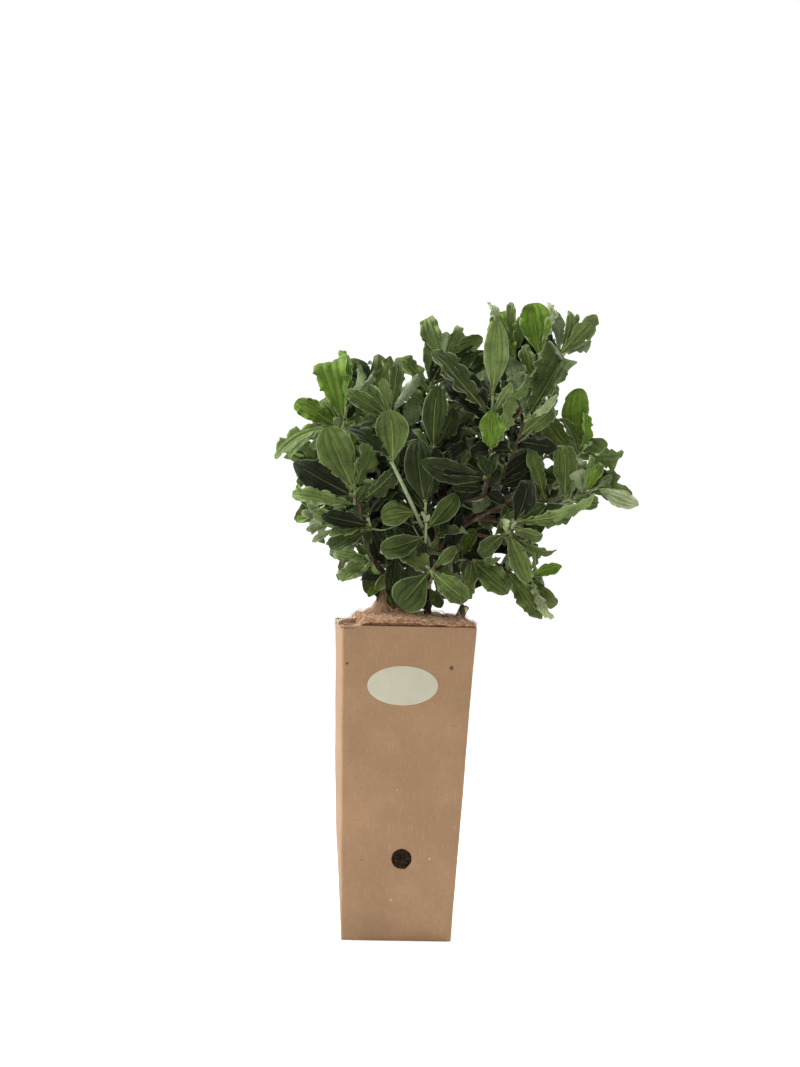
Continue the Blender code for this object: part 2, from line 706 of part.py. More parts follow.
def main():
    for old in list(bpy.data.objects):
        bpy.data.objects.remove(old)
    board = finish("kraft_board", (0.36, 0.22, 0.12), 0.8)
    bark = finish("bark", (0.10, 0.05, 0.035), 0.75)
    green = finish("foliage", (0.06, 0.13, 0.03), 0.6)
    limbs = grow_limbs()
    shoots = grow_shoots(limbs)
    leaves = grow_leaves(limbs, shoots)

    pot(board)
    label(finish("label_paper", (0.75, 0.72, 0.6), 0.6))
    soil(finish("potting_soil", (0.03, 0.02, 0.015), 0.95))
    stems = [limbs[limb.name] for limb in LIMBS if not limb.parent]
    holes = [mesh_object("hole", *tube(own.path, own.radii, LIMB_SIDES, 2 * GAP)) for own in stems]
    twist = curve_through(vectors(TWIST_POINTS), 5 * MM)
    widths = radii_of(twist, TWIST_FOOT_RADIUS, TWIST_TIP_RADIUS)
    mesh_object("twisted_end", *tube(twist, widths, TWIST_SIDES), finish("twine", (0.3, 0.26, 0.18), 0.9))
    holes.append(mesh_object("hole", *tube(twist, widths, TWIST_SIDES, GAP)))
    fibre_mat(finish("coconut_fibre", (0.42, 0.28, 0.18), 0.95), holes)
    for limb in LIMBS:
        limb_object(limb.name, limbs[limb.name], limbs.get(limb.parent), LIMB_SIDES, bark)
    for shoot in SHOOTS:
        mass_object(shoot, shoots[shoot.name], limbs[shoot.parent], leaves[shoot.name], green)


main()
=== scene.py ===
import json
import math
import random
from typing import NamedTuple

import bmesh
import bpy
import numpy as np
from mathutils import Matrix, Vector, noise
from mathutils.bvhtree import BVHTree

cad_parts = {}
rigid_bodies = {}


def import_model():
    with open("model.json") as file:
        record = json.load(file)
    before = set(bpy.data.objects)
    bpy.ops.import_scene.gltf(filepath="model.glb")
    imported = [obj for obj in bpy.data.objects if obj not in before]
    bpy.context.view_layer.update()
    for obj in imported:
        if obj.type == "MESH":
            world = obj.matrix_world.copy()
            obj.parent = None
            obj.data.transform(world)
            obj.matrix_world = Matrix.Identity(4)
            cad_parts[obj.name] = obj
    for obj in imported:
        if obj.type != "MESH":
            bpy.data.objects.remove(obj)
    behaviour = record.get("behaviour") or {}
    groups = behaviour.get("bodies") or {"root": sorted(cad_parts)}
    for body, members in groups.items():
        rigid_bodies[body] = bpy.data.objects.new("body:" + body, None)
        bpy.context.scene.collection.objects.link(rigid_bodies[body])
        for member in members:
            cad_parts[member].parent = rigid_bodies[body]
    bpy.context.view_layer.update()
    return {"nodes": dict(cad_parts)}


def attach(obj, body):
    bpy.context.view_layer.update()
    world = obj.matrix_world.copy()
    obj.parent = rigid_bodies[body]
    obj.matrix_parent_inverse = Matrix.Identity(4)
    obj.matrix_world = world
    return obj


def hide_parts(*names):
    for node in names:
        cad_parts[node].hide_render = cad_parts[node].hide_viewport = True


# The plant's sizes and its rule of growth, as in the part's source. Lengths in the tables are
# in millimetres.

MM = 0.001
POT_HEIGHT = 295 * MM
POT_TOP_SIDE = 126 * MM
POT_FOOT_SIDE = 103 * MM
POT_TOP_TURN = math.radians(5.3)
POT_FOOT_TURN = math.radians(2.1)
POT_LEAN = 2 * MM  # sideways shift of the rim
POT_BULGE = 4.5 * MM
POT_CORNER = 2.5 * MM
BOARD = 2.2 * MM
HOLE_ACROSS = 0.03
HOLE_HEIGHT = 78 * MM
HOLE_RADIUS = 9.5 * MM
LABEL_ACROSS = -0.07
LABEL_HEIGHT = 240 * MM
LABEL_WIDTH = 66 * MM
LABEL_TALL = 36.5 * MM
MAT_RISE = 3.5 * MM
MAT_MOUND = 22 * MM
MAT_LUMP = 1.6 * MM
TWIST_POINTS = ((54, 14, 292), (57, 13, 301), (61.5, 12, 311.5))
TWIST_FOOT_RADIUS = 4.0 * MM
TWIST_TIP_RADIUS = 4.7 * MM
LEAF_SLENDER = 0.41  # width for length
LEAF_ROUNDER = 0.13  # added to it for the leaves near the pot
ROUND_BELOW = 440 * MM
ROUND_REACH = 90 * MM
LEAF_THICK = 1.2 * MM
LEAF_ROOT = 0.95 * MM
LEAF_BEND = math.radians(34)
LEAF_STATIONS = (0.0, 0.32, 0.74)
TURNS_AWAY = math.radians(115)  # a blade that looks further from the light than this hardly turns
AWAY_SHARE = 0.15
LOW_LEAF_LEAST = 26
LOW_LEAF_SHRINK = 0.88
LOW_LEAF_SLANT = 82
LOW_GAP = 17
BARE_FOOT = 11 * MM
CLEAR = 0.35 * MM
# More slant and more heading that a leaf tries, in degrees.
TRIES = ((0, 0), (8, 0), (-8, 0), (0, 14), (0, -14), (14, 10), (14, -10), (-12, 20), (-12, -20), (22, 0))
LIMB_SIDES = 7
TWIG_SIDES = 5
TWIG_FOOT = 1.35 * MM
TWIG_TIP = 0.95 * MM


class Limb(NamedTuple):
    """A stem or bough: where it leaves its parent, the points it passes, and its radii."""

    name: str
    parent: str
    at: float
    points: tuple
    foot_radius: float
    tip_radius: float


class Shoot(NamedTuple):
    """A leafy shoot: where it leaves its limb, one point that it passes, and its tip.
    turn is the tip pair's heading about the shoot, face the share by which its blades turn
    to the light, gap the step from pair to pair, and pairs are (leaf length, slant from the
    shoot in degrees), from the tip down."""

    name: str
    parent: str
    at: float
    bend: tuple
    tip: tuple
    turn: float
    face: float
    gap: float
    pairs: tuple


LIMBS = (
    Limb("main_stem", "", 0,
         ((25, -8, 281.3), (25, -9, 337), (28, -6, 371), (36, 0, 410), (40, 6, 436)), 3.2, 2.0),
    Limb("left_stem", "", 0,
         ((-13, 4, 281.3), (-20, 4, 334), (-32, -2, 366), (-40, -12, 395), (-43, -24, 412)), 2.6, 1.6),
    Limb("back_stem", "", 0,
         ((2, 34, 281.3), (5, 42, 345), (12, 52, 395), (15, 60, 445)), 2.6, 1.6),
    Limb("right_bough", "main_stem", 0.52,
         ((50, -4, 384), (75, -14, 400), (103, -20, 416)), 1.9, 1.4),
    Limb("front_bough", "main_stem", 0.62,
         ((44, -20, 409), (75, -40, 418), (78, -56, 435)), 1.8, 1.4),
    Limb("top_bough", "main_stem", 1.0,
         ((63, 10, 454), (92, 8, 478), (101, 6, 494)), 1.8, 1.4),
    Limb("low_right_bough", "main_stem", 0.38,
         ((46, 6, 356), (65, 12, 362), (90, 14, 355)), 1.7, 1.3),
    Limb("upper_left_bough", "left_stem", 0.7,
         ((-51, 10, 432), (-56, 14, 457), (-58, 14, 471)), 1.5, 1.3),
    Limb("centre_bough", "main_stem", 0.85,
         ((26, -10, 433), (14, -4, 462), (-2, 0, 479)), 1.6, 1.3),
    Limb("back_right_bough", "back_stem", 0.55,
         ((47, 73, 416), (88, 89, 438), (109, 95, 455)), 1.7, 1.3),
    Limb("back_left_bough", "back_stem", 0.6,
         ((-19, 73, 415), (-51, 85, 435), (-67, 89, 450)), 1.7, 1.3),
)

SHOOTS = (
    Shoot("front_long", "main_stem", 0.55, (6, -50, 411), (-13, -88, 447),
          64, 0.7, 90, ((58, 22),)),
    Shoot("centre_tall", "front_bough", 1.0, (80, -48, 468), (80, -56, 512),
          257, 0.15, 22, ((73, 15), (86, 30), (65, 28), (60, 70))),
    Shoot("left_front", "left_stem", 1.0, (-47, -37, 408), (-47, -37, 427),
          288, 1.0, 10, ((68, 26), (70, 56), (56, 75), (50, 85))),
    Shoot("left_top", "upper_left_bough", 1.0, (-61, 12, 478), (-58, -6, 502),
          327, 0.7, 12, ((65, 29), (64, 30), (44, 70))),
    Shoot("right_low", "right_bough", 0.35, (91, -41, 380), (104, -64, 395),
          310, 0.1, 10, ((79, 43), (57, 80), (46, 80))),
    Shoot("right_dark", "right_bough", 0.3, (91, -15, 433), (112, -50, 492),
          304, 0.7, 18, ((76, 23), (51, 22), (50, 75))),
    Shoot("front_centre", "centre_bough", 0.5, (26, -36, 451), (27, -42, 464),
          78, 0.7, 14, ((60, 15), (50, 50), (46, 60))),
    Shoot("front_dark", "main_stem", 0.72, (20, -38, 398), (20, -51, 411),
          65, 0.7, 20, ((62, 15), (50, 60))),
    Shoot("left_mid", "left_stem", 0.8, (-31, -36, 385), (-34, -42, 396),
          316, 0.7, 10, ((52, 64), (58, 68), (44, 90))),
    Shoot("left_far", "upper_left_bough", 0.55, (-52, 31, 475), (-75, 12, 482),
          44, 0.5, 10, ((53, 41), (49, 37), (40, 80))),
    Shoot("front_mid", "main_stem", 0.42, (21, -34, 364), (21, -45, 392),
          309, 0.7, 26, ((52, 52), (52, 86))),
    Shoot("front_low", "main_stem", 0.3, (28, -54, 343), (26, -51, 348),
          321, 0.7, 9, ((50, 105), (44, 80))),
    Shoot("left_front_low", "left_stem", 0.33, (-13, -16, 340), (-7, -39, 362),
          84, 0.7, 8, ((42, 74), (38, 90))),
    Shoot("low_right", "low_right_bough", 1.0, (114, 1, 340), (127, -4, 344),
          255, 1.0, 12, ((40, 42), (44, 72), (52, 80))),
    Shoot("right_far", "right_bough", 1.0, (149, -25, 415), (183, -30, 429),
          18, 1.0, 12, ((38, 41), (41, 68), (46, 75))),
    Shoot("right_top", "right_bough", 0.9, (142, 3, 430), (170, 4, 464),
          312, 1.0, 14, ((68, 44), (62, 54), (46, 80))),
    Shoot("top_mid", "top_bough", 0.72, (117, -10, 508), (126, -27, 557),
          64, 0.7, 14, ((52, 15), (50, 24), (40, 60))),
    Shoot("top_right", "top_bough", 1.0, (119, 4, 519), (149, 7, 562),
          354, 0.7, 14, ((49, 15), (52, 39), (44, 60))),
    Shoot("top_centre", "top_bough", 0.6, (106, 18, 507), (104, 9, 564),
          316, 0.7, 12, ((46, 39), (66, 15), (44, 60))),
    Shoot("top_left", "top_bough", 0.45, (21, 30, 506), (37, 22, 559),
          290, 0.7, 20, ((47, 47), (37, 25), (42, 15), (44, 70))),
    Shoot("centre_left", "centre_bough", 1.0, (-9, 5, 474), (-16, -14, 497),
          358, 0.4, 11, ((49, 26), (45, 19), (40, 60))),
    Shoot("centre_dark", "main_stem", 0.85, (74, -28, 415), (77, -33, 432),
          316, 0.5, 12, ((72, 63), (62, 70))),
    Shoot("right_mid", "right_bough", 0.6, (128, -17, 392), (133, -34, 407),
          41, 0.3, 12, ((63, 22), (50, 70))),
    Shoot("right_under", "right_bough", 0.75, (132, -12, 407), (155, -6, 426),
          340, 0.7, 10, ((44, 41), (44, 70))),
    Shoot("low_mid", "low_right_bough", 0.55, (68, -17, 353), (67, -17, 358),
          57, 0.9, 12, ((53, 103), (44, 80))),
    Shoot("left_foot", "left_stem", 0.4, (-27, 4, 344), (-35, -17, 360),
          320, 0.9, 10, ((42, 55), (43, 70))),
    Shoot("left_low", "left_stem", 0.62, (-39, 6, 367), (-43, 10, 373),
          20, 0.7, 12, ((42, 45), (40, 80))),
    Shoot("foot_leaf", "main_stem", 0.18, (28, -13, 321), (35, -16, 330),
          355, 0.7, 8, ((21, 112),)),
    Shoot("low_back", "low_right_bough", 0.3, (67, 21, 365), (84, 30, 374),
          27, 0.7, 14, ((44, 52), (44, 80))),
    Shoot("left_back_low", "left_stem", 0.5, (-56, 52, 375), (-84, 53, 396),
          336, 0.7, 12, ((34, 34), (33, 74), (32, 80))),
    Shoot("back_top", "back_stem", 1.0, (26, 62, 478), (31, 65, 539),
          30, 0.7, 20, ((52, 24), (56, 42), (54, 60), (50, 75))),
    Shoot("back_top_left", "back_left_bough", 1.0, (-44, 83, 483), (-30, 81, 526),
          55, 0.7, 18, ((44, 26), (48, 44), (50, 65))),
    Shoot("back_left", "back_left_bough", 0.6, (-72, 90, 436), (-92, 97, 459),
          20, 0.7, 16, ((46, 50), (48, 65), (44, 85))),
    Shoot("back_mid", "back_stem", 0.7, (-7, 91, 439), (-17, 111, 498),
          70, 0.7, 18, ((52, 32), (54, 50), (50, 75))),
    Shoot("back_low_left", "back_stem", 0.35, (-28, 84, 364), (-44, 105, 405),
          10, 0.7, 14, ((46, 45), (46, 75))),
    Shoot("back_right_top", "back_right_bough", 1.0, (106, 91, 491), (104, 89, 536),
          10, 0.7, 20, ((54, 28), (56, 44), (54, 60))),
    Shoot("back_right", "back_right_bough", 0.75, (127, 98, 446), (149, 105, 470),
          50, 0.7, 16, ((52, 36), (54, 60), (48, 80))),
    Shoot("back_right_low", "back_right_bough", 0.35, (80, 101, 399), (101, 118, 410),
          20, 0.7, 14, ((48, 50), (48, 80))),
    Shoot("back_centre", "back_right_bough", 0.5, (57, 106, 455), (59, 121, 503),
          70, 0.7, 16, ((50, 34), (52, 55), (48, 80))),
    Shoot("back_low", "back_stem", 0.2, (19, 74, 330), (26, 92, 359),
          30, 0.7, 12, ((42, 60), (40, 90))),
)


def curve_through(points, step):
    """Points about step apart on the smooth curve that passes through the given ones."""
    ends = [2 * points[0] - points[1], *points, 2 * points[-1] - points[-2]]
    out = [points[0].copy()]
    for a, b, c, d in zip(ends, ends[1:], ends[2:], ends[3:]):
        count = max(1, round((c - b).length / step))
        for i in range(1, count + 1):
            t = i / count
            out.append(0.5 * (2 * b + (c - a) * t + (2 * a - 5 * b + 4 * c - d) * t * t
                              + (3 * b - a - 3 * c + d) * t ** 3))
    return out


def along(path, distance):
    """The point at that distance along a path, and the path's direction there."""
    for a, b in zip(path, path[1:]):
        length = (b - a).length
        if distance <= length or b is path[-1]:
            break
        distance -= length
    way = (b - a).normalized()
    return a + way * min(distance, length), way


def path_length(path):
    return sum((b - a).length for a, b in zip(path, path[1:]))


def frames(path):
    """A direction, side and front at each point of a path, turning as little as they can."""
    ways = [(b - a).normalized() for a, b in zip(path, path[1:])]
    ways = [ways[0], *((a + b).normalized() for a, b in zip(ways, ways[1:])), ways[-1]]
    front = front_of(ways[0])
    out = []
    for way in ways:
        front = (front - way * front.dot(way)).normalized()
        out.append((way, way.cross(front), front))
    return out


def front_of(way):
    """The direction square to way that looks most to the front of the plant."""
    front = Vector((0, -1, 0)) - way * -way.y
    return front.normalized() if front.length > 0.2 else (Vector((0, 0, 1)) - way * way.z).normalized()


def tube(path, radii, sides, grow=0.0):
    """Points and faces of a closed tapering tube, larger all round by grow."""
    points = []
    places = frames(path)
    for i, (point, radius) in enumerate(zip(path, radii)):
        way, side, front = places[i]
        middle = point + way * (grow if i == len(path) - 1 else -grow if i == 0 else 0.0)
        for k in range(sides):
            turn = 2 * math.pi * k / sides
            points.append(middle + (side * math.cos(turn) + front * math.sin(turn)) * (radius + grow))
    return points, loft_faces(len(path), sides)


def loft_faces(rings, sides):
    """Faces of rings of equally many points joined in order, with both ends closed."""
    faces = [tuple(reversed(range(sides))), tuple(range((rings - 1) * sides, rings * sides))]
    for r in range(rings - 1):
        for k in range(sides):
            a, b = r * sides + k, r * sides + (k + 1) % sides
            faces.append((a, b, b + sides, a + sides))
    return faces


class Grown(NamedTuple):
    """A limb or shoot as grown: its path and the radius at each point."""

    path: list
    radii: list


def radii_of(path, foot, tip, flare=0.0):
    """A radius for each point of a path, tapering from foot to tip, wider by flare at the foot."""
    whole = path_length(path)
    out, done = [], 0.0
    for i, point in enumerate(path):
        done += (point - path[i - 1]).length if i else 0.0
        share = done / whole
        out.append(foot + (tip - foot) * share + flare * math.exp(-done / (9 * MM)))
    return out


def vectors(points):
    return [Vector(p) * MM for p in points]


def grow_limbs():
    grown = {}
    for limb in LIMBS:
        points = vectors(limb.points)
        if limb.parent:
            whole = path_length(grown[limb.parent].path)
            points.insert(0, along(grown[limb.parent].path, whole * limb.at)[0])
        else:
            points.insert(1, points[0] + Vector((0, 0, 5 * MM)))
        path = curve_through(points, 16 * MM)
        foot, tip = limb.foot_radius * MM, limb.tip_radius * MM
        grown[limb.name] = Grown(path, radii_of(path, foot, tip, 0.0 if limb.parent else 0.35 * foot))
    return grown


def grow_shoots(limbs):
    grown = {}
    for shoot in SHOOTS:
        parent = limbs[shoot.parent]
        start = along(parent.path, path_length(parent.path) * shoot.at)[0]
        path = curve_through([start, *vectors((shoot.bend, shoot.tip))], 20 * MM)
        grown[shoot.name] = Grown(path, radii_of(path, TWIG_FOOT, TWIG_TIP))
    return grown


class Leaf(NamedTuple):
    """A leaf: its root, the way it sets out, its upper face's normal there, and its size."""

    root: Vector
    way: Vector
    up: Vector
    length: float
    width: float
    bend: float


def leaf_width(share):
    """Half width for a width of 1, at that share of the length."""
    return 0.5 * math.sin(math.pi * share ** 1.2) ** 0.5


def leaf_line(leaf, share):
    """The midrib's point and the upper face's normal at that share of the length."""
    turn = leaf.bend * share
    ahead = leaf.length / leaf.bend * math.sin(turn)
    down = leaf.length / leaf.bend * (1 - math.cos(turn))
    point = leaf.root + leaf.way * ahead - leaf.up * down
    return point, leaf.up * math.cos(turn) + leaf.way * math.sin(turn)


def leaf_mesh(leaf, stations, grow=0.0):
    """Points and faces of a thin blade, keeled below, that ends in a point."""
    side = leaf.way.cross(leaf.up)
    points = []
    for share in stations:
        point, up = leaf_line(leaf, share)
        half = max(leaf.width * leaf_width(share), LEAF_ROOT) + grow
        thick = LEAF_THICK * (1 - 0.3 * share) + 2 * grow
        top = point + up * grow
        points += [top - side * half, top + side * half, top - up * thick]
    tip, up = leaf_line(leaf, 1.0)
    faces = loft_faces(len(stations), 3)
    last = len(points) - 3
    faces.remove(tuple(range(last, last + 3)))
    faces += [(last + k, last + (k + 1) % 3, len(points)) for k in range(3)]
    return points + [tip], faces


def bvh_of(points, faces):
    return BVHTree.FromPolygons([tuple(p) for p in points], faces)


class Obstacles:
    """The solids that a leaf must keep clear of, each with its bounding box."""

    def __init__(self):
        self.items = []

    def add(self, owner, points, faces):
        low = Vector(min(p[i] for p in points) for i in range(3))
        high = Vector(max(p[i] for p in points) for i in range(3))
        self.items.append((owner, low, high, bvh_of(points, faces)))

    def touches(self, points, faces, wanted):
        """Whether a mesh meets any solid whose owner is wanted."""
        low = Vector(min(p[i] for p in points) for i in range(3))
        high = Vector(max(p[i] for p in points) for i in range(3))
        tree = None
        for owner, other_low, other_high, other in self.items:
            apart = any(low[i] > other_high[i] or high[i] < other_low[i] for i in range(3))
            if apart or not wanted(owner):
                continue
            tree = tree or bvh_of(points, faces)
            if tree.overlap(other):
                return True
        return False


def light_at(point):
    """The way that a blade near that point turns: up, and out to the nearer open side."""
    light = Vector((point.x / (220 * MM), -1.0 if point.y < 40 * MM else 1.0, 0.5))
    return light.normalized()


def leaf_at(point, way, heading, slant, length, face, dice):
    """A leaf that leaves a shoot at point with that heading about it and slant from it."""
    front = front_of(way)
    side = way.cross(front)
    out = side * math.cos(heading) + front * math.sin(heading)
    ahead = way * math.cos(slant) + out * math.sin(slant)
    up = way * math.sin(slant) - out * math.cos(slant)
    light = light_at(point)
    light -= ahead * light.dot(ahead)
    if light.length > 0.1:
        light.normalize()
        turn = math.atan2(up.cross(light).dot(ahead), up.dot(light))
        share = face if abs(turn) < TURNS_AWAY else AWAY_SHARE
        up = Matrix.Rotation(turn * share, 3, ahead) @ up
    slender = LEAF_SLENDER + LEAF_ROUNDER * min(max((ROUND_BELOW - point.z) / ROUND_REACH, 0.0), 1.0)
    size = length * dice.uniform(0.95, 1.05)
    return Leaf(point - ahead * 0.3 * MM, ahead, up, size, size * slender * dice.uniform(0.93, 1.1),
                LEAF_BEND * dice.uniform(0.5, 1.5))


def pair_rows(shoot, whole):
    """(place along the shoot, length, slant) of each pair: those named, then smaller ones to its foot."""
    rows = [(whole - (0.8 + shoot.gap * k) * MM, *pair) for k, pair in enumerate(shoot.pairs)]
    gap = max(shoot.gap, LOW_GAP) * MM
    while rows[-1][0] - gap > BARE_FOOT:
        place, length, slant = rows[-1]
        length = max(length * LOW_LEAF_SHRINK, LOW_LEAF_LEAST)
        rows.append((place - gap, length, max(slant, LOW_LEAF_SLANT)))
    return rows


def leaf_tries(shoot, own):
    """For each leaf of a shoot, from the tip down, the slants and headings to try."""
    for k, (place, length, slant) in enumerate(pair_rows(shoot, path_length(own.path))):
        for i in range(2):
            point, way = along(own.path, max(place - 0.8 * i * MM, 2 * MM))
            dice = random.Random(f"{shoot.name} {k} {i}")
            heading = shoot.turn + 90 * k + 180 * i + dice.uniform(-7, 7)
            lean = slant + dice.uniform(-5, 5)
            size = random.Random(f"{shoot.name} {k} {i} size").getstate()
            tries = []
            for more_slant, more_heading in TRIES:
                dice.setstate(size)
                tries.append(leaf_at(point, way, math.radians(heading + more_heading),
                                     math.radians(lean + more_slant), length * MM, shoot.face, dice))
            yield k, i, tries


def grow_leaves(limbs, shoots):
    """The leaves of each shoot, by the rule of opposite pairs."""
    taken = Obstacles()
    for name, own in limbs.items():
        taken.add(name, *tube(own.path, own.radii, LIMB_SIDES))
    for name, own in shoots.items():
        taken.add(name, *tube(own.path, own.radii, TWIG_SIDES))
    leaves = {}
    whole, free = ((share, *LEAF_STATIONS[1:]) for share in (0.01, 0.1))
    for shoot in SHOOTS:
        kept = []
        for k, i, tries in leaf_tries(shoot, shoots[shoot.name]):
            for leaf in tries:
                own_names = (shoot.name, shoot.name + " root")
                others = taken.touches(*leaf_mesh(leaf, whole, CLEAR),
                                       lambda owner: owner not in own_names)
                own_blades = taken.touches(*leaf_mesh(leaf, free, CLEAR),
                                           lambda owner: owner == shoot.name)
                if not others and not own_blades:
                    taken.add(shoot.name, *leaf_mesh(leaf, free))
                    roots = leaf_mesh(leaf, whole)
                    taken.add(shoot.name + " root", roots[0][:6], loft_faces(2, 3))
                    kept.append((k, i, leaf))
                    break
        leaves[shoot.name] = kept
    return leaves, taken


# Meshes

class Skin:
    """One piece: sheets of quads, each quad with the number of its material."""

    def __init__(self, name, materials, slot):
        self.name, self.materials, self.slot = name, materials, slot
        self.points, self.quads, self.kinds = [], [], []
        self.count = 0
        self.nodes = set()

    def sheet(self, points, kinds=0, ring=False, flip=False):
        """Adds rows by columns of points. A ring's last column joins its first. kinds is the
        material of every quad, of each strip between two columns, or of each quad."""
        rows, columns = points.shape[:2]
        index = np.arange(rows * columns).reshape(rows, columns) + self.count
        if ring:
            index = np.concatenate([index, index[:, :1]], axis=1)
        quads = np.stack([index[:-1, :-1], index[:-1, 1:], index[1:, 1:], index[1:, :-1]], axis=-1)
        if flip:
            quads = quads[..., ::-1]
        self.points.append(points.reshape(-1, 3))
        self.quads.append(quads.reshape(-1, 4))
        self.kinds.append(np.broadcast_to(kinds, quads.shape[:2]).reshape(-1))
        self.count += rows * columns

    def made(self):
        points, quads = np.concatenate(self.points), np.concatenate(self.quads)
        mesh = bpy.data.meshes.new(self.name)
        mesh.vertices.add(len(points))
        mesh.vertices.foreach_set("co", points.astype(np.float32).ravel())
        mesh.loops.add(quads.size)
        mesh.loops.foreach_set("vertex_index", quads.astype(np.int32).ravel())
        mesh.polygons.add(len(quads))
        mesh.polygons.foreach_set("loop_start", np.arange(0, quads.size, 4, dtype=np.int32))
        mesh.polygons.foreach_set("material_index", np.concatenate(self.kinds).astype(np.int32))
        mesh.polygons.foreach_set("use_smooth", np.ones(len(quads), bool))
        mesh.update(calc_edges=True)
        mesh.validate()
        for material in self.materials:
            mesh.materials.append(material)
        return placed(bpy.data.objects.new(self.name, mesh), self.slot, *sorted(self.nodes))


def placed(made, slot, *nodes):
    """Puts a piece in the scene, on the object's only body, in place of those CAD nodes."""
    bpy.context.scene.collection.objects.link(made)
    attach(made, "root")
    if nodes:
        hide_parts(*nodes)
    return made


def row(vector):
    return np.array(vector, float)


def smooth_step(low, high, value):
    share = np.clip((value - low) / (high - low), 0, 1)
    return share * share * (3 - 2 * share)


def fine_tube(path, radius_at, sides, step, relief=None):
    """Rows of points round a smooth path. radius_at takes the share of its length, and relief
    the share and the turns round it, and gives the height to add."""
    length = path_length(path)
    count = max(2, round(length / step))
    spots = [along(path, length * i / count)[0] for i in range(count + 1)]
    rows = []
    for i, (point, (_, side, front)) in enumerate(zip(spots, frames(spots))):
        share = i / count
        turns = 2 * np.pi * np.arange(sides) / sides
        radius = radius_at(share) + (relief(share, turns) if relief else 0)
        rows.append(row(point) + np.outer(np.cos(turns) * radius, row(side))
                    + np.outer(np.sin(turns) * radius, row(front)))
    middles = [np.repeat(rows[i].mean(axis=0)[None], sides, axis=0) for i in (0, -1)]
    return np.stack([middles[0], *rows, middles[1]])


# Materials

def linear(*rgb):
    """The scene's colour for one given as 0 to 255."""
    out = []
    for value in rgb:
        value /= 255
        out.append(value / 12.92 if value < 0.04045 else ((value + 0.055) / 1.055) ** 2.4)
    return (*out, 1.0)


RANGE_SOCKETS = ("From Min", "From Max", "To Min", "To Max")


class Shader:
    """A Principled material and short ways to add nodes to it."""

    def __init__(self, name, roughness=0.6, specular=0.3, sheen=0.0):
        self.made = bpy.data.materials.new(name)
        self.made.use_nodes = True
        self.nodes, self.links = self.made.node_tree.nodes, self.made.node_tree.links
        self.main = self.nodes["Principled BSDF"]
        self.main.inputs["Roughness"].default_value = roughness
        self.main.inputs["Specular IOR Level"].default_value = specular
        self.main.inputs["Sheen Weight"].default_value = sheen
        self.place = self.nodes.new("ShaderNodeTexCoord").outputs["Object"]

    def add(self, kind, **inputs):
        node = self.nodes.new("ShaderNode" + kind)
        for name, value in inputs.items():
            socket = node.inputs[name.replace("_", " ")]
            if isinstance(value, bpy.types.NodeSocket):
                self.links.new(value, socket)
            else:
                socket.default_value = value
        return node

    def stretched(self, *scale):
        return self.add("Mapping", Vector=self.place, Scale=scale).outputs["Vector"]

    def noise(self, scale, detail=3.0, rough=0.5, at=None):
        node = self.add("TexNoise", Vector=at or self.place, Scale=scale, Detail=detail, Roughness=rough)
        return node.outputs["Fac"]

    def ramp(self, value, low, high, out_low=0.0, out_high=1.0):
        node = self.add("MapRange", Value=value)
        node.interpolation_type = "SMOOTHSTEP"
        for name, number in zip(RANGE_SOCKETS, (low, high, out_low, out_high)):
            node.inputs[name].default_value = number
        return node.outputs["Result"]

    def mix(self, factor, a, b):
        node = self.nodes.new("ShaderNodeMix")
        node.data_type = "RGBA"
        for socket, value in ((node.inputs[0], factor), (node.inputs[6], a), (node.inputs[7], b)):
            if isinstance(value, bpy.types.NodeSocket):
                self.links.new(value, socket)
            else:
                socket.default_value = value
        return node.outputs[2]

    def math(self, operation, a, b):
        node = self.nodes.new("ShaderNodeMath")
        node.operation = operation
        for socket, value in zip(node.inputs, (a, b)):
            if isinstance(value, bpy.types.NodeSocket):
                self.links.new(value, socket)
            else:
                socket.default_value = value
        return node.outputs[0]

    def colour(self, value):
        self.links.new(value, self.main.inputs["Base Color"])

    def bump(self, height, strength, distance):
        node = self.add("Bump", Height=height, Strength=strength, Distance=distance)
        self.links.new(node.outputs["Normal"], self.main.inputs["Normal"])


def cells(shader, scale, width):
    """A net of thin lines, as of veins: 1 on the lines, 0 between."""
    net = shader.add("TexVoronoi", Vector=shader.place, Scale=scale)
    net.feature = "DISTANCE_TO_EDGE"
    return shader.ramp(net.outputs["Distance"], 0.0, width, 1.0, 0.0)


DARK_LEAF = 130  # the sum of a dark leaf's red, green and blue, which shines less
FINE_BUMP = 0.4 * MM


def leaf_material(name, rgb, under=False):
    """Soft patches of lighter and darker green with a fine net of veins, sunk above, raised below."""
    specular = 0.09 if sum(rgb) < DARK_LEAF else 0.18
    shader = Shader(name, roughness=0.7 if under else 0.58, specular=specular, sheen=0.08 if under else 0.0)
    dark, light, darkest = (linear(*[c * share for c in rgb]) for share in (0.84, 1.16, 0.7))
    base = shader.mix(shader.ramp(shader.noise(55, 3), 0.35, 0.65), dark, light)
    net = cells(shader, 320, 0.2)
    on_veins = linear(*[min(c * 1.16 + 6, 255) for c in rgb])
    base = shader.mix(shader.math("MULTIPLY", net, 0.6 if under else 0.45), base, on_veins)
    spots = shader.ramp(shader.noise(170, 3), 0.45, 0.75, 0, 0.35)
    shader.colour(shader.mix(spots, base, darkest))
    height = shader.math("ADD", net, shader.math("MULTIPLY", shader.noise(900, 2), 0.5))
    shader.bump(height, 0.7 if under else -0.7, FINE_BUMP)
    return shader.made


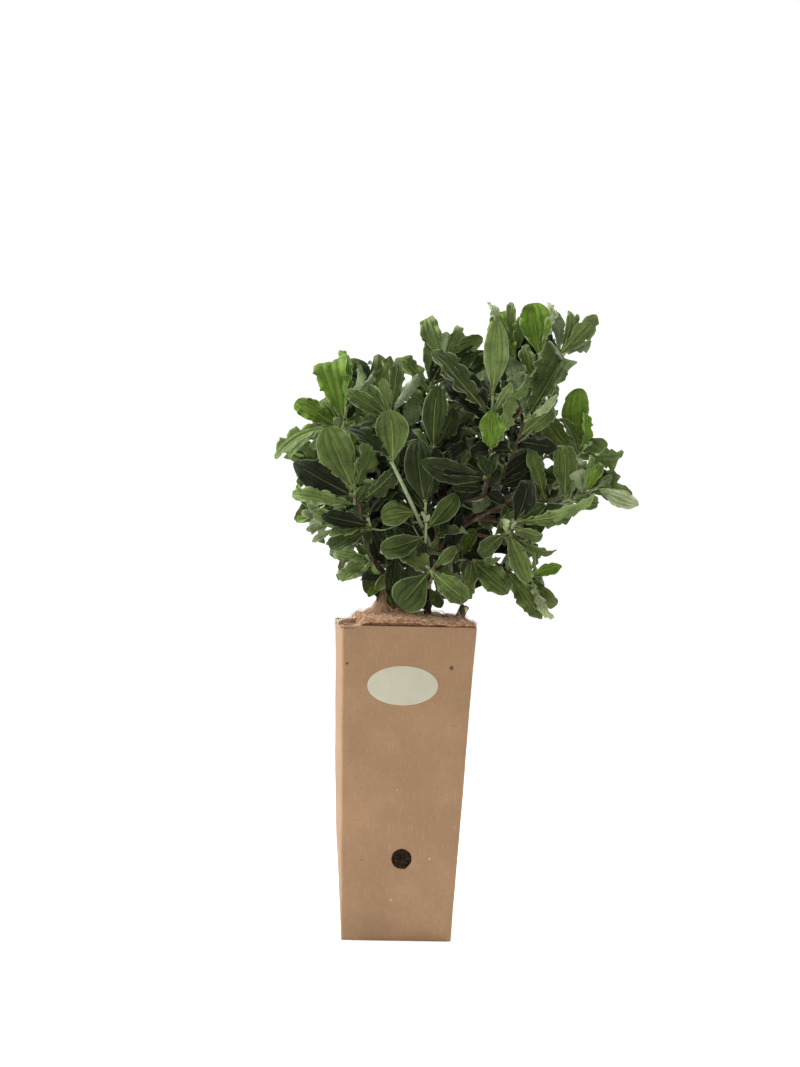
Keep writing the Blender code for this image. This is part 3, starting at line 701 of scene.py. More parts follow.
def plain_material(name, rgb, roughness=0.6, spread=0.12, scale=200, sheen=0.0, grain=None, bump=0.3):
    """A colour broken by fine noise, with a bump of the same grain."""
    shader = Shader(name, roughness, 0.25, sheen)
    at = shader.stretched(*grain) if grain else None
    grains = shader.noise(scale, 4, 0.6, at)
    dark, light = ([min(c * k, 255) for c in rgb] for k in (1 - spread, 1 + spread))
    shader.colour(shader.mix(shader.ramp(grains, 0.3, 0.7), linear(*dark), linear(*light)))
    shader.bump(grains, bump, FINE_BUMP)
    return shader.made


def board_material():
    """Kraft board: cloudy, with fibres both ways, flecks, smudges and two dark dots."""
    shader = Shader("kraft_board", roughness=0.62, specular=0.7)
    wide = shader.ramp(shader.noise(16, 4, 0.6), 0.3, 0.72)
    colour = shader.mix(wide, linear(*BOARD_DARK), linear(*BOARD_LIGHT))
    down = shader.noise(420, 5, 0.72, shader.stretched(1, 1, 0.28))
    across = shader.noise(420, 5, 0.72, shader.stretched(0.28, 0.28, 1))
    colour = shader.mix(shader.ramp(down, 0.52, 0.7, 0, 0.35), colour, linear(*BOARD_FLECK))
    colour = shader.mix(shader.ramp(across, 0.52, 0.7, 0, 0.3), colour, linear(*BOARD_SHADE))
    colour = shader.mix(specks(shader, 95, 0.04, 0.9), colour, linear(*BOARD_SPECK))
    colour = shader.mix(specks(shader, 60, 0.035, 0.6), colour, linear(*BOARD_PALE))
    for place, reach, share in SMUDGES:
        broken = shader.ramp(shader.noise(240, 5, 0.8), 0.42, 0.6, 0, share)
        smudge = shader.math("MULTIPLY", near(shader, place, reach), broken)
        colour = shader.mix(smudge, colour, linear(*BOARD_SMUDGE))
    for aside, height, reach in DOTS:
        colour = shader.mix(near(shader, pot_front(aside, height, 0), reach), colour, linear(*BOARD_DOT))
    shader.colour(colour)
    shader.bump(shader.math("ADD", down, across), 0.35, FINE_BUMP)
    return shader.made


def near(shader, place, reach):
    """1 at a place, 0 from its reach on."""
    away = shader.add("VectorMath", Vector=shader.place)
    away.operation = "DISTANCE"
    away.inputs[1].default_value = place
    return shader.ramp(away.outputs["Value"], reach * 0.2, reach, 1, 0)


def specks(shader, scale, size, rare):
    """Small spots in some of the cells of a pattern."""
    dots = shader.add("TexVoronoi", Vector=shader.place, Scale=scale)
    spot = shader.ramp(dots.outputs["Distance"], size, size * 1.8, 1, 0)
    chosen = shader.add("SeparateColor", Color=dots.outputs["Color"]).outputs[0]
    return shader.math("MULTIPLY", spot, shader.ramp(chosen, rare, rare + 0.01))


# The leaves that the photograph shows, shoot by shoot: root and tip in its pixels, how many
# millimetres nearer the tip stands, the width seen in pixels, the roll in degrees from facing
# the camera, the tone with the light and shade on the leaf painted into it, and what else sets the leaf
# apart.

SEEN = {
    "left_top": (
        (344, 425, 333, 362, 6, 35, -4, "bright",
         {"widest": 0.8, "narrow": 1.2, "blunt": 0.3, "curl": 130, "turned": 0.72, "fold": 16, "bend": 5}),
        (344, 416, 340, 350, -12, 13, 20, "bright", {"widest": 0.67, "curl": 50}),
        (345, 425, 391, 356, -6, 22, 30, "fresh", {"wave": 1.4, "bend": 30}),
        (347, 412, 357, 361, -12, 9, 150, "fresh"),
        (350, 408, 375, 370, -14, 9, 165, "pale"),
    ),
    "left_far": (
        (341, 430, 295, 402, 5, 22, 10, "bright", {"widest": 0.68, "blunt": 0.42, "fold": 10}),
        (343, 427, 321, 400, -10, 16, 0, "mid", {"widest": 0.65, "blunt": 0.45}),
        (337, 430, 334, 417, 4, 7, 30, "pale"),
        (338, 430, 275, 459, 14, 14, 46, "fresh", {"bend": 92, "wave": 1.5, "curl": 10, "blunt": 0.6}),
        (314, 430, 290, 460, -4, 8, 50, "fresh", {"bend": 50}),
        (328, 431, 305, 439, -6, 12, 20, "fresh"),
        (326, 434, 311, 448, -10, 10, 10, "fresh"),
    ),
    "left_front": (
        (357, 491, 327, 427, 12, 38, 0, "mid",
         {"widest": 0.66, "fold": 14, "curl": 15, "bend": 14, "wave": 0.5, "blunt": 0.5}),
        (358, 491, 366, 436, 0, 21, 35, "mid", {"widest": 0.63, "wave": 1.1, "bend": 15}),
        (356, 497, 293, 463, 2, 29, 0, "deep", {"widest": 0.56, "fold": 8, "wave": 0.8}),
        (352, 505, 292, 496, 10, 15, 30, "fresh", {"bend": 40}),
        (357, 502, 395, 464, 10, 17, 10, "olive", {"bend": 50, "fold": 30}),
        (358, 505, 367, 483, 12, 12, 20, "olive"),
    ),
    "left_mid": (
        (372, 525, 321, 516, 8, 18, 12, "deep", {"fold": 24, "widest": 0.56}),
        (372, 528, 329, 536, 12, 14, 25, "mid", {"fold": 22}),
        (368, 535, 329, 547, 6, 18, 10, "olive", {"blunt": 0.4}),
        (352, 520, 312, 512, -8, 16, 0, "mid"),
        (345, 512, 321, 508, -4, 9, 0, "mid"),
        (388, 545, 375, 520, 0, 16, 20, "shade"),
        (385, 560, 369, 544, 2, 11, 30, "shade", {"fold": 30}),
    ),
    "left_back_low": (
        (331, 527, 306, 530, 0, 9, 10, "pale"),
        (333, 531, 312, 542, 0, 7, 0, "pale"),
        (322, 517, 296, 522, 0, 9, 20, "bright", {"bend": 60}),
        (322, 515, 301, 512, 4, 9, 0, "pale"),
        (321, 513, 305, 478, 0, 10, 10, "bright"),
        (320, 515, 297, 484, -6, 8, 0, "bright"),
        (318, 516, 308, 502, 4, 9, 0, "pale"),
        (346, 540, 331, 531, 2, 9, 10, "fresh"),
    ),
    "left_foot": (
        (369, 561, 339, 579, 8, 15, 15, "fresh", {"curl": 70, "bend": 40}),
        (366, 560, 333, 553, -4, 14, 0, "fresh"),
        (367, 562, 351, 554, 2, 9, 0, "mid"),
        (372, 563, 358, 545, -6, 9, 20, "fresh"),
        (378, 586, 368, 597, 6, 9, 0, "bright"),
        (368, 565, 346, 575, -8, 11, 0, "fresh"),
    ),
    "left_front_low": (
        (395, 556, 390, 590, 4, 20, 10, "shade", {"widest": 0.56}),
        (389, 568, 377, 591, 0, 11, 20, "mid"),
        (387, 596, 390, 611, 6, 11, 0, "bright"),
        (391, 570, 405, 560, 2, 10, 0, "shade"),
    ),
    "front_long": (
        (394, 461, 389, 410, 34, 34, 0, "mid",
         {"widest": 0.67, "blunt": 0.5, "narrow": 1.3, "fold": 6, "wave": 0.3, "curl": 8, "bend": 10}),
        (392, 460, 346, 429, 54, 14, 45, "shade", {"bend": 30, "curl": 5, "fold": 14}),
        (424, 509, 381, 518, 8, 26, 5, "mid",
         {"widest": 0.61, "blunt": 0.42, "fold": 6, "wave": 0.5, "curl": 15}),
    ),
    "front_mid": (
        (424, 536, 381, 550, 8, 22, 5, "olive", {"widest": 0.61, "wave": 0.5}),
        (438, 541, 419, 558, 4, 16, 0, "shade"),
        (436, 556, 437, 537, 6, 6, 0, "mid"),
        (436, 530, 457, 494, 4, 19, 10, "olive", {"wave": 0.4}),
    ),
    "front_low": (
        (433, 561, 399, 607, 12, 38, 0, "olive",
         {"widest": 0.72, "narrow": 2.0, "blunt": 0.5, "fold": 5, "wave": 0.3, "curl": 10, "bend": 15}),
        (433, 562, 467, 601, 10, 24, 5, "mid", {"widest": 0.63, "blunt": 0.5, "fold": 12}),
        (431, 566, 456, 546, -2, 12, 25, "mid"),
        (430, 588, 441, 608, 2, 12, 0, "mid"),
        (438, 572, 450, 598, -12, 14, 0, "shade"),
    ),
    "foot_leaf": (
        (430, 600, 398, 607, -4, 9, 0, "deep"),
        (437, 590, 441, 608, 4, 11, 0, "mid"),
    ),
    "low_mid": (
        (472, 560, 508, 594, 10, 27, 0, "mid", {"widest": 0.59, "fold": 15}),
        (472, 560, 501, 558, -4, 10, 40, "fresh", {"wave": 1.5}),
        (471, 556, 469, 588, 6, 14, 0, "mid"),
    ),
    "low_right": (
        (502, 570, 542, 619, 12, 21, 8, "mid", {"widest": 0.59, "fold": 24, "curl": 25}),
        (513, 562, 500, 580, 2, 15, 20, "fresh"),
        (530, 576, 562, 566, 2, 13, 10, "bright", {"wave": 1.3}),
        (530, 577, 554, 618, 4, 9, 35, "pale", {"curl": 60, "bend": 45}),
        (532, 572, 527, 537, 2, 8, 50, "mid", {"bend": 60}),
    ),
    "right_low": (
        (504, 525, 529, 583, 10, 20, 15, "mid", {"fold": 26, "widest": 0.57, "curl": 8}),
        (508, 526, 543, 535, 6, 12, 30, "mid", {"fold": 24}),
        (508, 530, 557, 550, 0, 8, 45, "mid"),
        (510, 522, 527, 480, 4, 23, 10, "deep", {"widest": 0.56}),
        (520, 520, 595, 493, 14, 13, 45, "fresh", {"wave": 0.6, "bend": 20, "fold": 20}),
        (523, 521, 576, 507, 2, 15, 20, "mid"),
        (516, 518, 545, 504, 2, 14, 10, "olive"),
        (509, 536, 480, 556, -2, 18, 10, "olive"),
    ),
    "right_dark": (
        (525, 417, 564, 358, 8, 31, -18, "olive",
         {"widest": 0.84, "narrow": 1.1, "blunt": 0.3, "fold": 42, "curl": 120, "turned": 0.78, "bend": 6}),
        (520, 416, 507, 355, -10, 21, 155, "olive", {"widest": 0.61}),
        (527, 438, 553, 405, 6, 19, 15, "mid", {"curl": 60}),
        (524, 444, 557, 448, 8, 16, 20, "deep", {"wave": 1.4}),
        (527, 420, 557, 394, 6, 8, 30, "pale", {"wave": 1.4}),
        (503, 478, 530, 456, 4, 20, 0, "deep"),
        (497, 487, 529, 470, 2, 13, 20, "deep"),
        (503, 497, 473, 512, 8, 14, 165, "fresh", {"bend": 10, "curl": 8}),
    ),
    "right_far": (
        (546, 503, 529, 447, 12, 15, 22, "mid", {"bend": 12, "curl": 5}),
        (597, 486, 639, 505, 6, 18, 12, "pale", {"widest": 0.59, "fold": 20}),
        (583, 494, 578, 470, 10, 27, 180, "pale", {"widest": 0.69, "blunt": 0.35}),
        (562, 491, 564, 445, 2, 25, 0, "mid", {"widest": 0.63, "fold": 20, "blunt": 0.45}),
        (568, 491, 577, 466, 8, 10, 160, "fresh"),
        (572, 500, 598, 503, 0, 16, 10, "mid", {"wave": 1.3}),
        (584, 492, 602, 464, -4, 12, 0, "bright"),
        (580, 492, 590, 455, -2, 8, 30, "fresh"),
        (596, 488, 612, 474, -6, 9, 160, "fresh"),
    ),
    "right_top": (
        (578, 452, 579, 388, -4, 27, 0, "bright", {"widest": 0.63, "blunt": 0.5, "wave": 0.8, "bend": 12}),
        (577, 450, 583, 412, 8, 10, 35, "bright", {"fold": 40}),
        (575, 452, 557, 419, 8, 9, 35, "mid", {"curl": 60, "fold": 34}),
        (577, 450, 624, 452, 8, 20, 30, "fresh", {"bend": 50, "wave": 1.4, "widest": 0.65}),
        (574, 456, 542, 416, 4, 20, 10, "mid", {"widest": 0.65, "wave": 1.2, "curl": 50}),
    ),
    "centre_tall": (
        (493, 394, 497, 320, 4, 26, 0, "fresh",
         {"widest": 0.56, "fold": 15, "blunt": 0.6, "wave": 0.35, "curl": 10, "bend": 14}),
        (489, 417, 431, 351, 10, 22, 22, "olive", {"widest": 0.67, "wave": 1.5, "curl": 45}),
        (494, 413, 549, 348, 0, 13, 42, "fresh", {"wave": 1.5, "bend": 20}),
        (494, 416, 511, 382, 8, 10, 30, "fresh", {"curl": 60}),
        (487, 452, 491, 410, 10, 25, 5, "bright", {"widest": 0.59, "fold": 30, "curl": 10}),
        (489, 452, 509, 386, 2, 14, 30, "fresh", {"fold": 28}),
        (485, 487, 437, 472, 8, 14, 20, "deep"),
        (486, 484, 420, 461, 14, 24, 10, "shade", {"widest": 0.63, "bend": 45, "wave": 0.9}),
        (485, 482, 479, 456, 10, 12, 10, "shade", {"fold": 28}),
        (493, 478, 497, 454, 4, 11, 0, "shade"),
        (491, 430, 446, 379, -14, 32, 15, "deep", {"widest": 0.59}),
    ),
    "front_centre": (
        (434, 450, 438, 386, 6, 26, 0, "olive",
         {"widest": 0.57, "fold": 12, "wave": 0.3, "curl": 10, "blunt": 0.55, "bend": 14}),
        (434, 450, 453, 408, 0, 16, 28, "shade"),
        (431, 456, 407, 443, 0, 11, 20, "olive"),
        (431, 459, 412, 430, 0, 6, 45, "mid"),
    ),
    "front_dark": (
        (424, 505, 418, 440, 8, 30, 0, "shade", {"widest": 0.56, "fold": 8, "wave": 0.3, "blunt": 0.5}),
        (426, 505, 435, 447, 2, 15, 30, "shade"),
        (425, 512, 400, 480, -8, 16, 10, "shade"),
    ),
    "centre_dark": (
        (484, 492, 500, 470, -4, 14, 10, "shade"),
        (484, 488, 461, 499, 6, 12, 10, "deep"),
        (484, 490, 505, 503, 8, 12, 0, "deep"),
        (483, 486, 452, 486, 4, 13, 10, "shade"),
    ),
    "low_back": (
        (463, 552, 474, 528, 4, 14, 0, "bright", {"wave": 0.2}),
        (473, 556, 487, 529, 0, 23, 0, "shade"),
    ),
    "centre_left": (
        (387, 420, 345, 391, 10, 17, 20, "mid", {"curl": 40}),
        (389, 414, 382, 378, 8, 12, 15, "fresh", {"fold": 32}),
        (393, 415, 419, 374, 4, 11, 140, "pale", {"fold": 30}),
        (389, 414, 398, 361, -6, 16, 10, "mid", {"wave": 1.4}),
        (387, 416, 366, 387, -8, 17, 0, "fresh", {"wave": 1.4}),
        (401, 430, 413, 397, -6, 18, 165, "fresh"),
    ),
    "top_left": (
        (443, 356, 427, 318, 2, 21, 15, "fresh", {"widest": 0.63, "blunt": 0.45}),
        (446, 356, 459, 326, 2, 13, 20, "fresh", {"fold": 34}),
        (446, 354, 483, 338, 0, 16, 15, "fresh"),
        (444, 362, 474, 346, 4, 9, 30, "shade"),
        (439, 388, 431, 338, 4, 14, 20, "fresh", {"curl": 50}),
        (438, 388, 446, 359, 8, 17, 0, "shade"),
        (435, 394, 395, 359, 2, 16, 15, "fresh", {"curl": 45}),
        (431, 406, 407, 387, 0, 11, 0, "fresh"),
        (440, 390, 477, 352, -8, 15, 10, "mid"),
    ),
    "top_centre": (
        (515, 358, 498, 313, 2, 28, 5, "bright", {"widest": 0.68, "blunt": 0.32}),
        (514, 345, 487, 302, -6, 9, 40, "pale", {"wave": 1.6}),
        (516, 328, 511, 302, 4, 10, 20, "fresh"),
        (520, 354, 521, 316, 8, 12, 20, "fresh"),
    ),
    "top_mid": (
        (541, 357, 533, 303, 2, 32, 0, "bright",
         {"widest": 0.63, "blunt": 0.5, "curl": 50, "turned": 0.88, "bend": 12}),
        (539, 345, 547, 302, -8, 9, 50, "pale", {"wave": 1.5}),
        (536, 380, 524, 345, -4, 14, 10, "mid"),
    ),
    "top_right": (
        (556, 354, 597, 315, 4, 19, 18, "fresh", {"fold": 30, "widest": 0.61}),
        (561, 352, 591, 340, 2, 10, 150, "pale"),
        (556, 352, 553, 309, 0, 13, 160, "pale"),
        (561, 350, 568, 310, 4, 9, 10, "fresh"),
        (562, 350, 578, 314, 0, 7, 30, "fresh"),
    ),
}

# The crown's outline in the photograph and the gaps in it that show sky, with their radii.

CROWN = [
    (371, 607), (364, 584), (338, 581), (332, 562), (328, 545), (310, 543), (295, 526), (295, 505),
    (291, 498), (296, 480), (291, 462), (271, 460), (272, 444), (300, 423), (312, 413), (293, 408),
    (302, 395), (328, 401), (322, 380), (313, 354), (338, 346), (352, 354), (364, 360), (380, 353),
    (393, 356), (386, 372), (396, 358), (410, 359), (425, 378), (431, 376), (429, 346), (424, 322),
    (438, 317), (449, 336), (457, 325), (485, 337), (482, 350), (488, 326), (497, 317), (485, 313),
    (487, 300), (504, 313), (512, 300), (524, 313), (531, 302), (549, 300), (553, 309), (568, 308),
    (598, 313), (588, 336), (593, 342), (578, 354), (562, 382), (558, 397), (553, 408), (565, 430),
    (565, 400), (579, 386), (592, 398), (590, 430), (606, 434), (627, 452), (590, 455), (604, 464),
    (622, 476), (641, 506), (600, 498), (597, 510), (572, 514), (548, 529), (532, 528), (560, 552),
    (542, 551), (545, 562), (564, 565), (540, 579), (558, 600), (556, 620), (530, 613), (505, 596),
    (478, 582), (470, 603), (446, 597), (444, 610),
]
SKY = (
    (452, 490, 3), (464, 515, 4), (392, 534, 4), (368, 536, 4), (382, 568, 4), (409, 569, 5), (356, 550, 5),
    (438, 583, 6), (500, 557, 7), (514, 574, 5), (494, 533, 5), (478, 384, 5), (499, 389, 5), (414, 378, 8),
    (415, 403, 5), (460, 448, 3), (458, 347, 4), (525, 348, 5), (547, 461, 7), (551, 478, 6), (544, 432, 5),
    (594, 474, 4), (537, 546, 6), (305, 490, 4), (324, 480, 3), (309, 451, 7),
)

# Leaves in full detail

BLADE, VEIN, MARGIN, UNDER, STALK, GROOVE_SHADE = range(6)
MARGIN_WIDTH = 0.72 * MM
SIDE_VEIN = 0.47  # the side veins' place, as a share of the half width

# The leaves' greens, partly their own and partly painted light and shade: bright is partly painted light on
# lit leaves at the crown's outside, back is painted light on back leaves that face the light from behind, and
# olive, shade and deep are painted shade for leaves further into the crown.
TONES = {
    "bright": (96, 124, 38),
    "fresh": (108, 126, 68),
    "mid": (84, 99, 46),
    "back": (82, 98, 45),
    "olive": (60, 73, 31),
    "shade": (42, 51, 24),
    "deep": (31, 36, 20),
    "pale": (158, 171, 126),
}
# The tone one step darker, by which leaves further into the crown get painted shade.
DARKER = {"bright": "fresh", "fresh": "mid", "pale": "mid", "mid": "olive", "back": "olive",
          "olive": "shade", "shade": "deep", "deep": "deep"}
# Each spray's tone, as painted light and shade: lighter on the crown's lit outside, shade for the sprays
# inside it.
SPRAY_TONES = {
    "left_top": "bright", "right_top": "bright", "top_centre": "fresh", "top_left": "fresh",
    "top_right": "fresh", "top_mid": "fresh", "left_far": "fresh", "front_long": "pale",
    "right_far": "fresh", "left_back_low": "pale", "left_low": "fresh", "left_foot": "fresh",
    "centre_tall": "mid", "left_front": "mid", "front_low": "mid", "low_mid": "mid",
    "low_right": "mid", "centre_left": "mid", "front_mid": "mid", "right_mid": "mid",
    "right_low": "fresh", "front_centre": "shade", "front_dark": "shade", "right_dark": "shade",
    "left_mid": "shade", "centre_dark": "shade", "right_under": "olive", "foot_leaf": "mid",
}
# The tone of the shoots that have none above, those at the back: olive, darker than mid, as painted shade.
BACK_TONE = "olive"
# How much of another colour goes into a tone for its veins, margin and underside. The margin's pale is partly
# its fine hairs' own colour and partly a painted highlight from the light behind.
VEIN_TINT, MARGIN_HAIR_AND_HIGHLIGHT_TINT, UNDER_TINT = (0.62, (172, 182, 104)), (0.6, (176, 184, 146)), (0.5, (118, 128, 98))


class Look(NamedTuple):
    """How one leaf is shaped beyond its root and tip. Angles are in radians. widest is the share
    of its length where it is widest, more of narrow draws its base in, more of blunt points
    its tip, and turned is the share of its length where its tip starts to curl."""

    fold: float
    wave: float
    curl: float
    turned: float
    sway: float
    twist: float
    narrow: float
    blunt: float
    widest: float


def look_of(dice):
    return Look(
        fold=math.radians(dice.uniform(18, 42)),
        wave=dice.uniform(0.8, 1.5),
        curl=math.radians(dice.choice((10, 30, 55, 85))),
        turned=dice.uniform(0.62, 0.78),
        sway=math.radians(dice.uniform(-12, 12)),
        twist=math.radians(dice.uniform(-14, 14)),
        narrow=dice.uniform(1.2, 1.6),
        blunt=dice.uniform(0.6, 0.88),
        widest=dice.uniform(0.55, 0.68),
    )


def running(steps):
    """The sum so far of steps, starting at 0."""
    return np.concatenate([[0], np.cumsum(steps)])


def turn_at(share, bend, look):
    """How far a leaf has turned down at each share of its length."""
    return bend * share + look.curl * smooth_step(look.turned, 1.04, share)


def midline(share, bend, look):
    """How far a leaf of length 1 has run ahead, down and aside at each share of its length."""
    middle, steps = (share[1:] + share[:-1]) / 2, np.diff(share)
    turn = turn_at(middle, bend, look)
    return (running(np.cos(turn) * steps), running(np.sin(turn) * steps),
            running(np.sin(look.sway * (2 * middle - 1)) * steps))


def outline(share, look):
    """Half a leaf's width at each share of its length, 1 at its widest place."""
    rising = np.sin(np.pi / 2 * np.clip((share - 0.02) / (look.widest - 0.02), 0, 1)) ** look.narrow
    falling = (1 - np.clip((share - look.widest) / (1 - look.widest), 0, 1) ** 2) ** look.blunt
    return np.where(share < look.widest, rising, falling)


class Detail(NamedTuple):
    """How finely a leaf is made: the step from row to row, and its columns. A column is the side
    of the midrib that it lies on, a share of the rim's distance and what is added to it."""

    step: float
    top: tuple
    kinds: tuple
    under: tuple


def both_sides(half):
    """Columns for both sides of the midrib, from those of one side."""
    return tuple((-1, *c) for c in reversed(half[1:])) + tuple((1, *c) for c in half)


VEIN_HALF = 0.32 * MM
FINE = Detail(
    1.6 * MM,
    both_sides(((0, 0), (0, 0.62 * MM), (0.2, 0), (0.36, 0), (SIDE_VEIN, -VEIN_HALF), (SIDE_VEIN, VEIN_HALF),
                (0.64, 0), (0.82, 0), (1, -MARGIN_WIDTH), (1, 0))),
    (VEIN, BLADE, BLADE, BLADE, GROOVE_SHADE, BLADE, BLADE, BLADE, MARGIN),
    both_sides(((0, 0), (0.3, 0), (SIDE_VEIN, 0), (0.82, 0), (1, 0))))
PLAIN = Detail(
    2.3 * MM,
    both_sides(((0, 0), (0, 0.45 * MM), (0.27, 0), (SIDE_VEIN, 0), (0.76, 0), (1, -MARGIN_WIDTH), (1, 0))),
    (VEIN, BLADE, BLADE, BLADE, BLADE, MARGIN),
    both_sides(((0, 0), (SIDE_VEIN, 0), (0.82, 0), (1, 0))))


COARSE = Detail(
    3.6 * MM,
    both_sides(((0, 0), (0.25, 0), (SIDE_VEIN, 0), (0.76, 0), (1, 0))),
    (BLADE, BLADE, BLADE, BLADE),
    both_sides(((0, 0), (SIDE_VEIN, 0), (1, 0))))


# Waves of a leaf's margin: their lengths, and heights in millimetres but for the slow one's,
# which is a share of the leaf's width. A narrower leaf than FULL_RUFFLE has smaller waves.
SLOW_WAVE, QUICK_WAVE, CROSS_WAVE = 17 * MM, 8.4 * MM, 5.6 * MM
SLOW_LIFT, QUICK_LIFT, QUICK_CHANGE = 0.09, 1.5, 0.8
RIM_QUICK, RIM_SLOW = 0.4, 0.5
FULL_RUFFLE = 15 * MM
STALK_END, RIB_END = 0.08, 0.8  # shares of a leaf's length


def fine_leaf(leaf, look, dice, detail):
    """Points of a leaf's upper and lower sheets, with the material of each of their quads."""
    count = int(min(max(leaf.length / detail.step, 9), 42))
    even = np.linspace(0, 1, count + 1)
    share = 0.5 * even + 0.5 * (1 - np.cos(np.pi * even)) / 2
    ahead, down, aside = (leaf.length * part for part in midline(share, leaf.bend, look))
    turn = turn_at(share, leaf.bend, look)
    way, up = row(leaf.way), row(leaf.up)
    side = np.cross(way, up)
    middle = row(leaf.root) + np.outer(ahead, way) + np.outer(aside, side) - np.outer(down, up)
    normal = np.outer(np.cos(turn), up) + np.outer(np.sin(turn), way)
    roll = look.twist * share
    sides = np.cos(roll)[:, None] * side + np.sin(roll)[:, None] * normal
    normals = np.cos(roll)[:, None] * normal - np.sin(roll)[:, None] * side

    stalk = 0.9 * MM * min(1.0, leaf.length / (40 * MM)) * (1 - 0.9 * share)
    half = leaf.width * 0.47 * outline(share, look)
    swell = np.sin(np.pi * np.clip(share * 1.03, 0, 1)) ** 0.5
    small = min(1.0, leaf.width / FULL_RUFFLE)
    phase = [dice.uniform(0, 6.3) for _ in range(6)]
    edges = {}
    for sign in (-1, 1):
        slow = 2 * np.pi * share * leaf.length / SLOW_WAVE + phase[0] + (1.9 if sign > 0 else 0)
        quick = 2 * np.pi * share * leaf.length / QUICK_WAVE + phase[1] + sign * phase[2] + 1.1 * np.sin(slow)
        crisp = look.wave * small * swell
        rim = half + stalk + crisp * MM * (RIM_QUICK * np.sin(quick + 1) + RIM_SLOW * np.sin(slow + phase[4]))
        ruffle = np.sin(quick) * (QUICK_LIFT + QUICK_CHANGE * np.sin(slow + 2)) * MM
        lift = crisp * (np.sin(slow) * SLOW_LIFT * leaf.width + ruffle)
        edges[sign] = np.maximum(rim, 0.3 * stalk + 0.1 * MM), lift
    sheets = []
    for columns in (detail.top, detail.under):
        lateral, height, thick = [], [], []
        for column in columns:
            sign = column[0]
            rim, lift = edges[sign]
            place = column_place(column, rim, leaf, share)
            part = place / rim
            vein = SIDE_VEIN * rim
            inner = np.sin(np.pi * np.clip(place / vein, 0, 1))
            outer = np.sin(np.pi * np.clip((place - vein) / (rim - vein), 0, 1))
            pleat = (inner + 0.8 * outer) * 0.18 * rim * swell
            groove = 0.5 * MM * np.exp(-(place / (0.9 * MM)) ** 2) * swell
            ripple = np.sin(2 * np.pi * (share * leaf.length - 1.1 * place) / CROSS_WAVE + phase[3])
            quilt = 0.16 * MM * small * ripple * swell
            quilt = quilt * (1 - np.exp(-(place / (2 * MM)) ** 2)) * (1 - part ** 4)
            fold = look.fold * (1.3 - 0.7 * share)
            lateral.append(sign * place * np.cos(fold))
            keel = np.sqrt(place ** 2 + (1.2 * MM) ** 2) - 1.2 * MM
            height.append((keel - 0.3 * rim) * np.sin(fold) + lift * part ** 2.2 + pleat - groove + quilt)
            ridge = 0.75 * MM * (1 - 0.75 * share) * np.exp(-(place / (1.1 * MM)) ** 2)
            rib = 0.22 * MM * np.exp(-((place - vein) / (0.6 * MM)) ** 2)
            thick.append((0.35 * MM + ridge + rib) * (1 - part ** 8) + 0.02 * MM)
        lateral, height, thick = (np.stack(part, axis=1) for part in (lateral, height, thick))
        if columns is detail.under:
            height = height - thick
        across, above = lateral[..., None] * sides[:, None], height[..., None] * normals[:, None]
        sheets.append(middle[:, None] + across + above)
    strips = detail.kinds[::-1] + detail.kinds
    kinds = np.broadcast_to(strips, (count, len(strips))).copy()
    kinds[share[:-1] < STALK_END] = STALK
    ribs = np.array(strips) == VEIN
    kinds[np.ix_(share[:-1] > RIB_END, ribs)] = BLADE
    return sheets[0], kinds, sheets[1]


def column_place(column, rim, leaf, share):
    """How far a column lies from the midrib. The one beside the midrib widens toward the base."""
    _, part, more = column
    if part == 0 and more:
        return np.minimum(more * min(1.0, leaf.length / (45 * MM)) * (1.5 - share), 0.2 * rim)
    return np.clip(part * rim + np.clip(more, -0.12 * rim, 0.12 * rim), 0, rim)


def on_photo(point):
    """A point's place in the photograph, in pixels."""
    away = point.y - CAMERA_PLACE[1]
    across = VIEW_DISTANCE_PX * (point.x - CAMERA_PLACE[0]) / away
    down = VIEW_DISTANCE_PX * (CAMERA_PLACE[2] - point.z) / away
    cos, sin = math.cos(CAMERA_ROLL), math.sin(CAMERA_ROLL)
    return Vector((PHOTO_WIDE / 2 + across * cos - down * sin, PHOTO_TALL / 2 + across * sin + down * cos))


def from_photo(x, y, depth):
    """The point at that depth which the photograph shows at that pixel."""
    cos, sin = math.cos(CAMERA_ROLL), math.sin(CAMERA_ROLL)
    x, y = x - PHOTO_WIDE / 2, y - PHOTO_TALL / 2
    across, down = x * cos + y * sin, y * cos - x * sin
    away = (depth - CAMERA_PLACE[1]) / VIEW_DISTANCE_PX
    return Vector((CAMERA_PLACE[0] + across * away, depth, CAMERA_PLACE[2] - down * away))


def seen_leaf(own, row, dice):
    """The leaf, its look and its tone for a row of SEEN. Its root sits on the shoot where the
    photograph shows it, and its tip lies at its own pixel."""
    root_x, root_y, tip_x, tip_y, nearer, wide, roll, tone, *more = row
    more = more[0] if more else {}
    length = path_length(own.path)
    spots = [along(own.path, length * i / 60)[0] for i in range(61)]
    root = min(spots, key=lambda p: (on_photo(p) - Vector((root_x, root_y))).length)
    return *reaching_leaf(root, (tip_x, tip_y), nearer, wide, roll, more, dice), tone


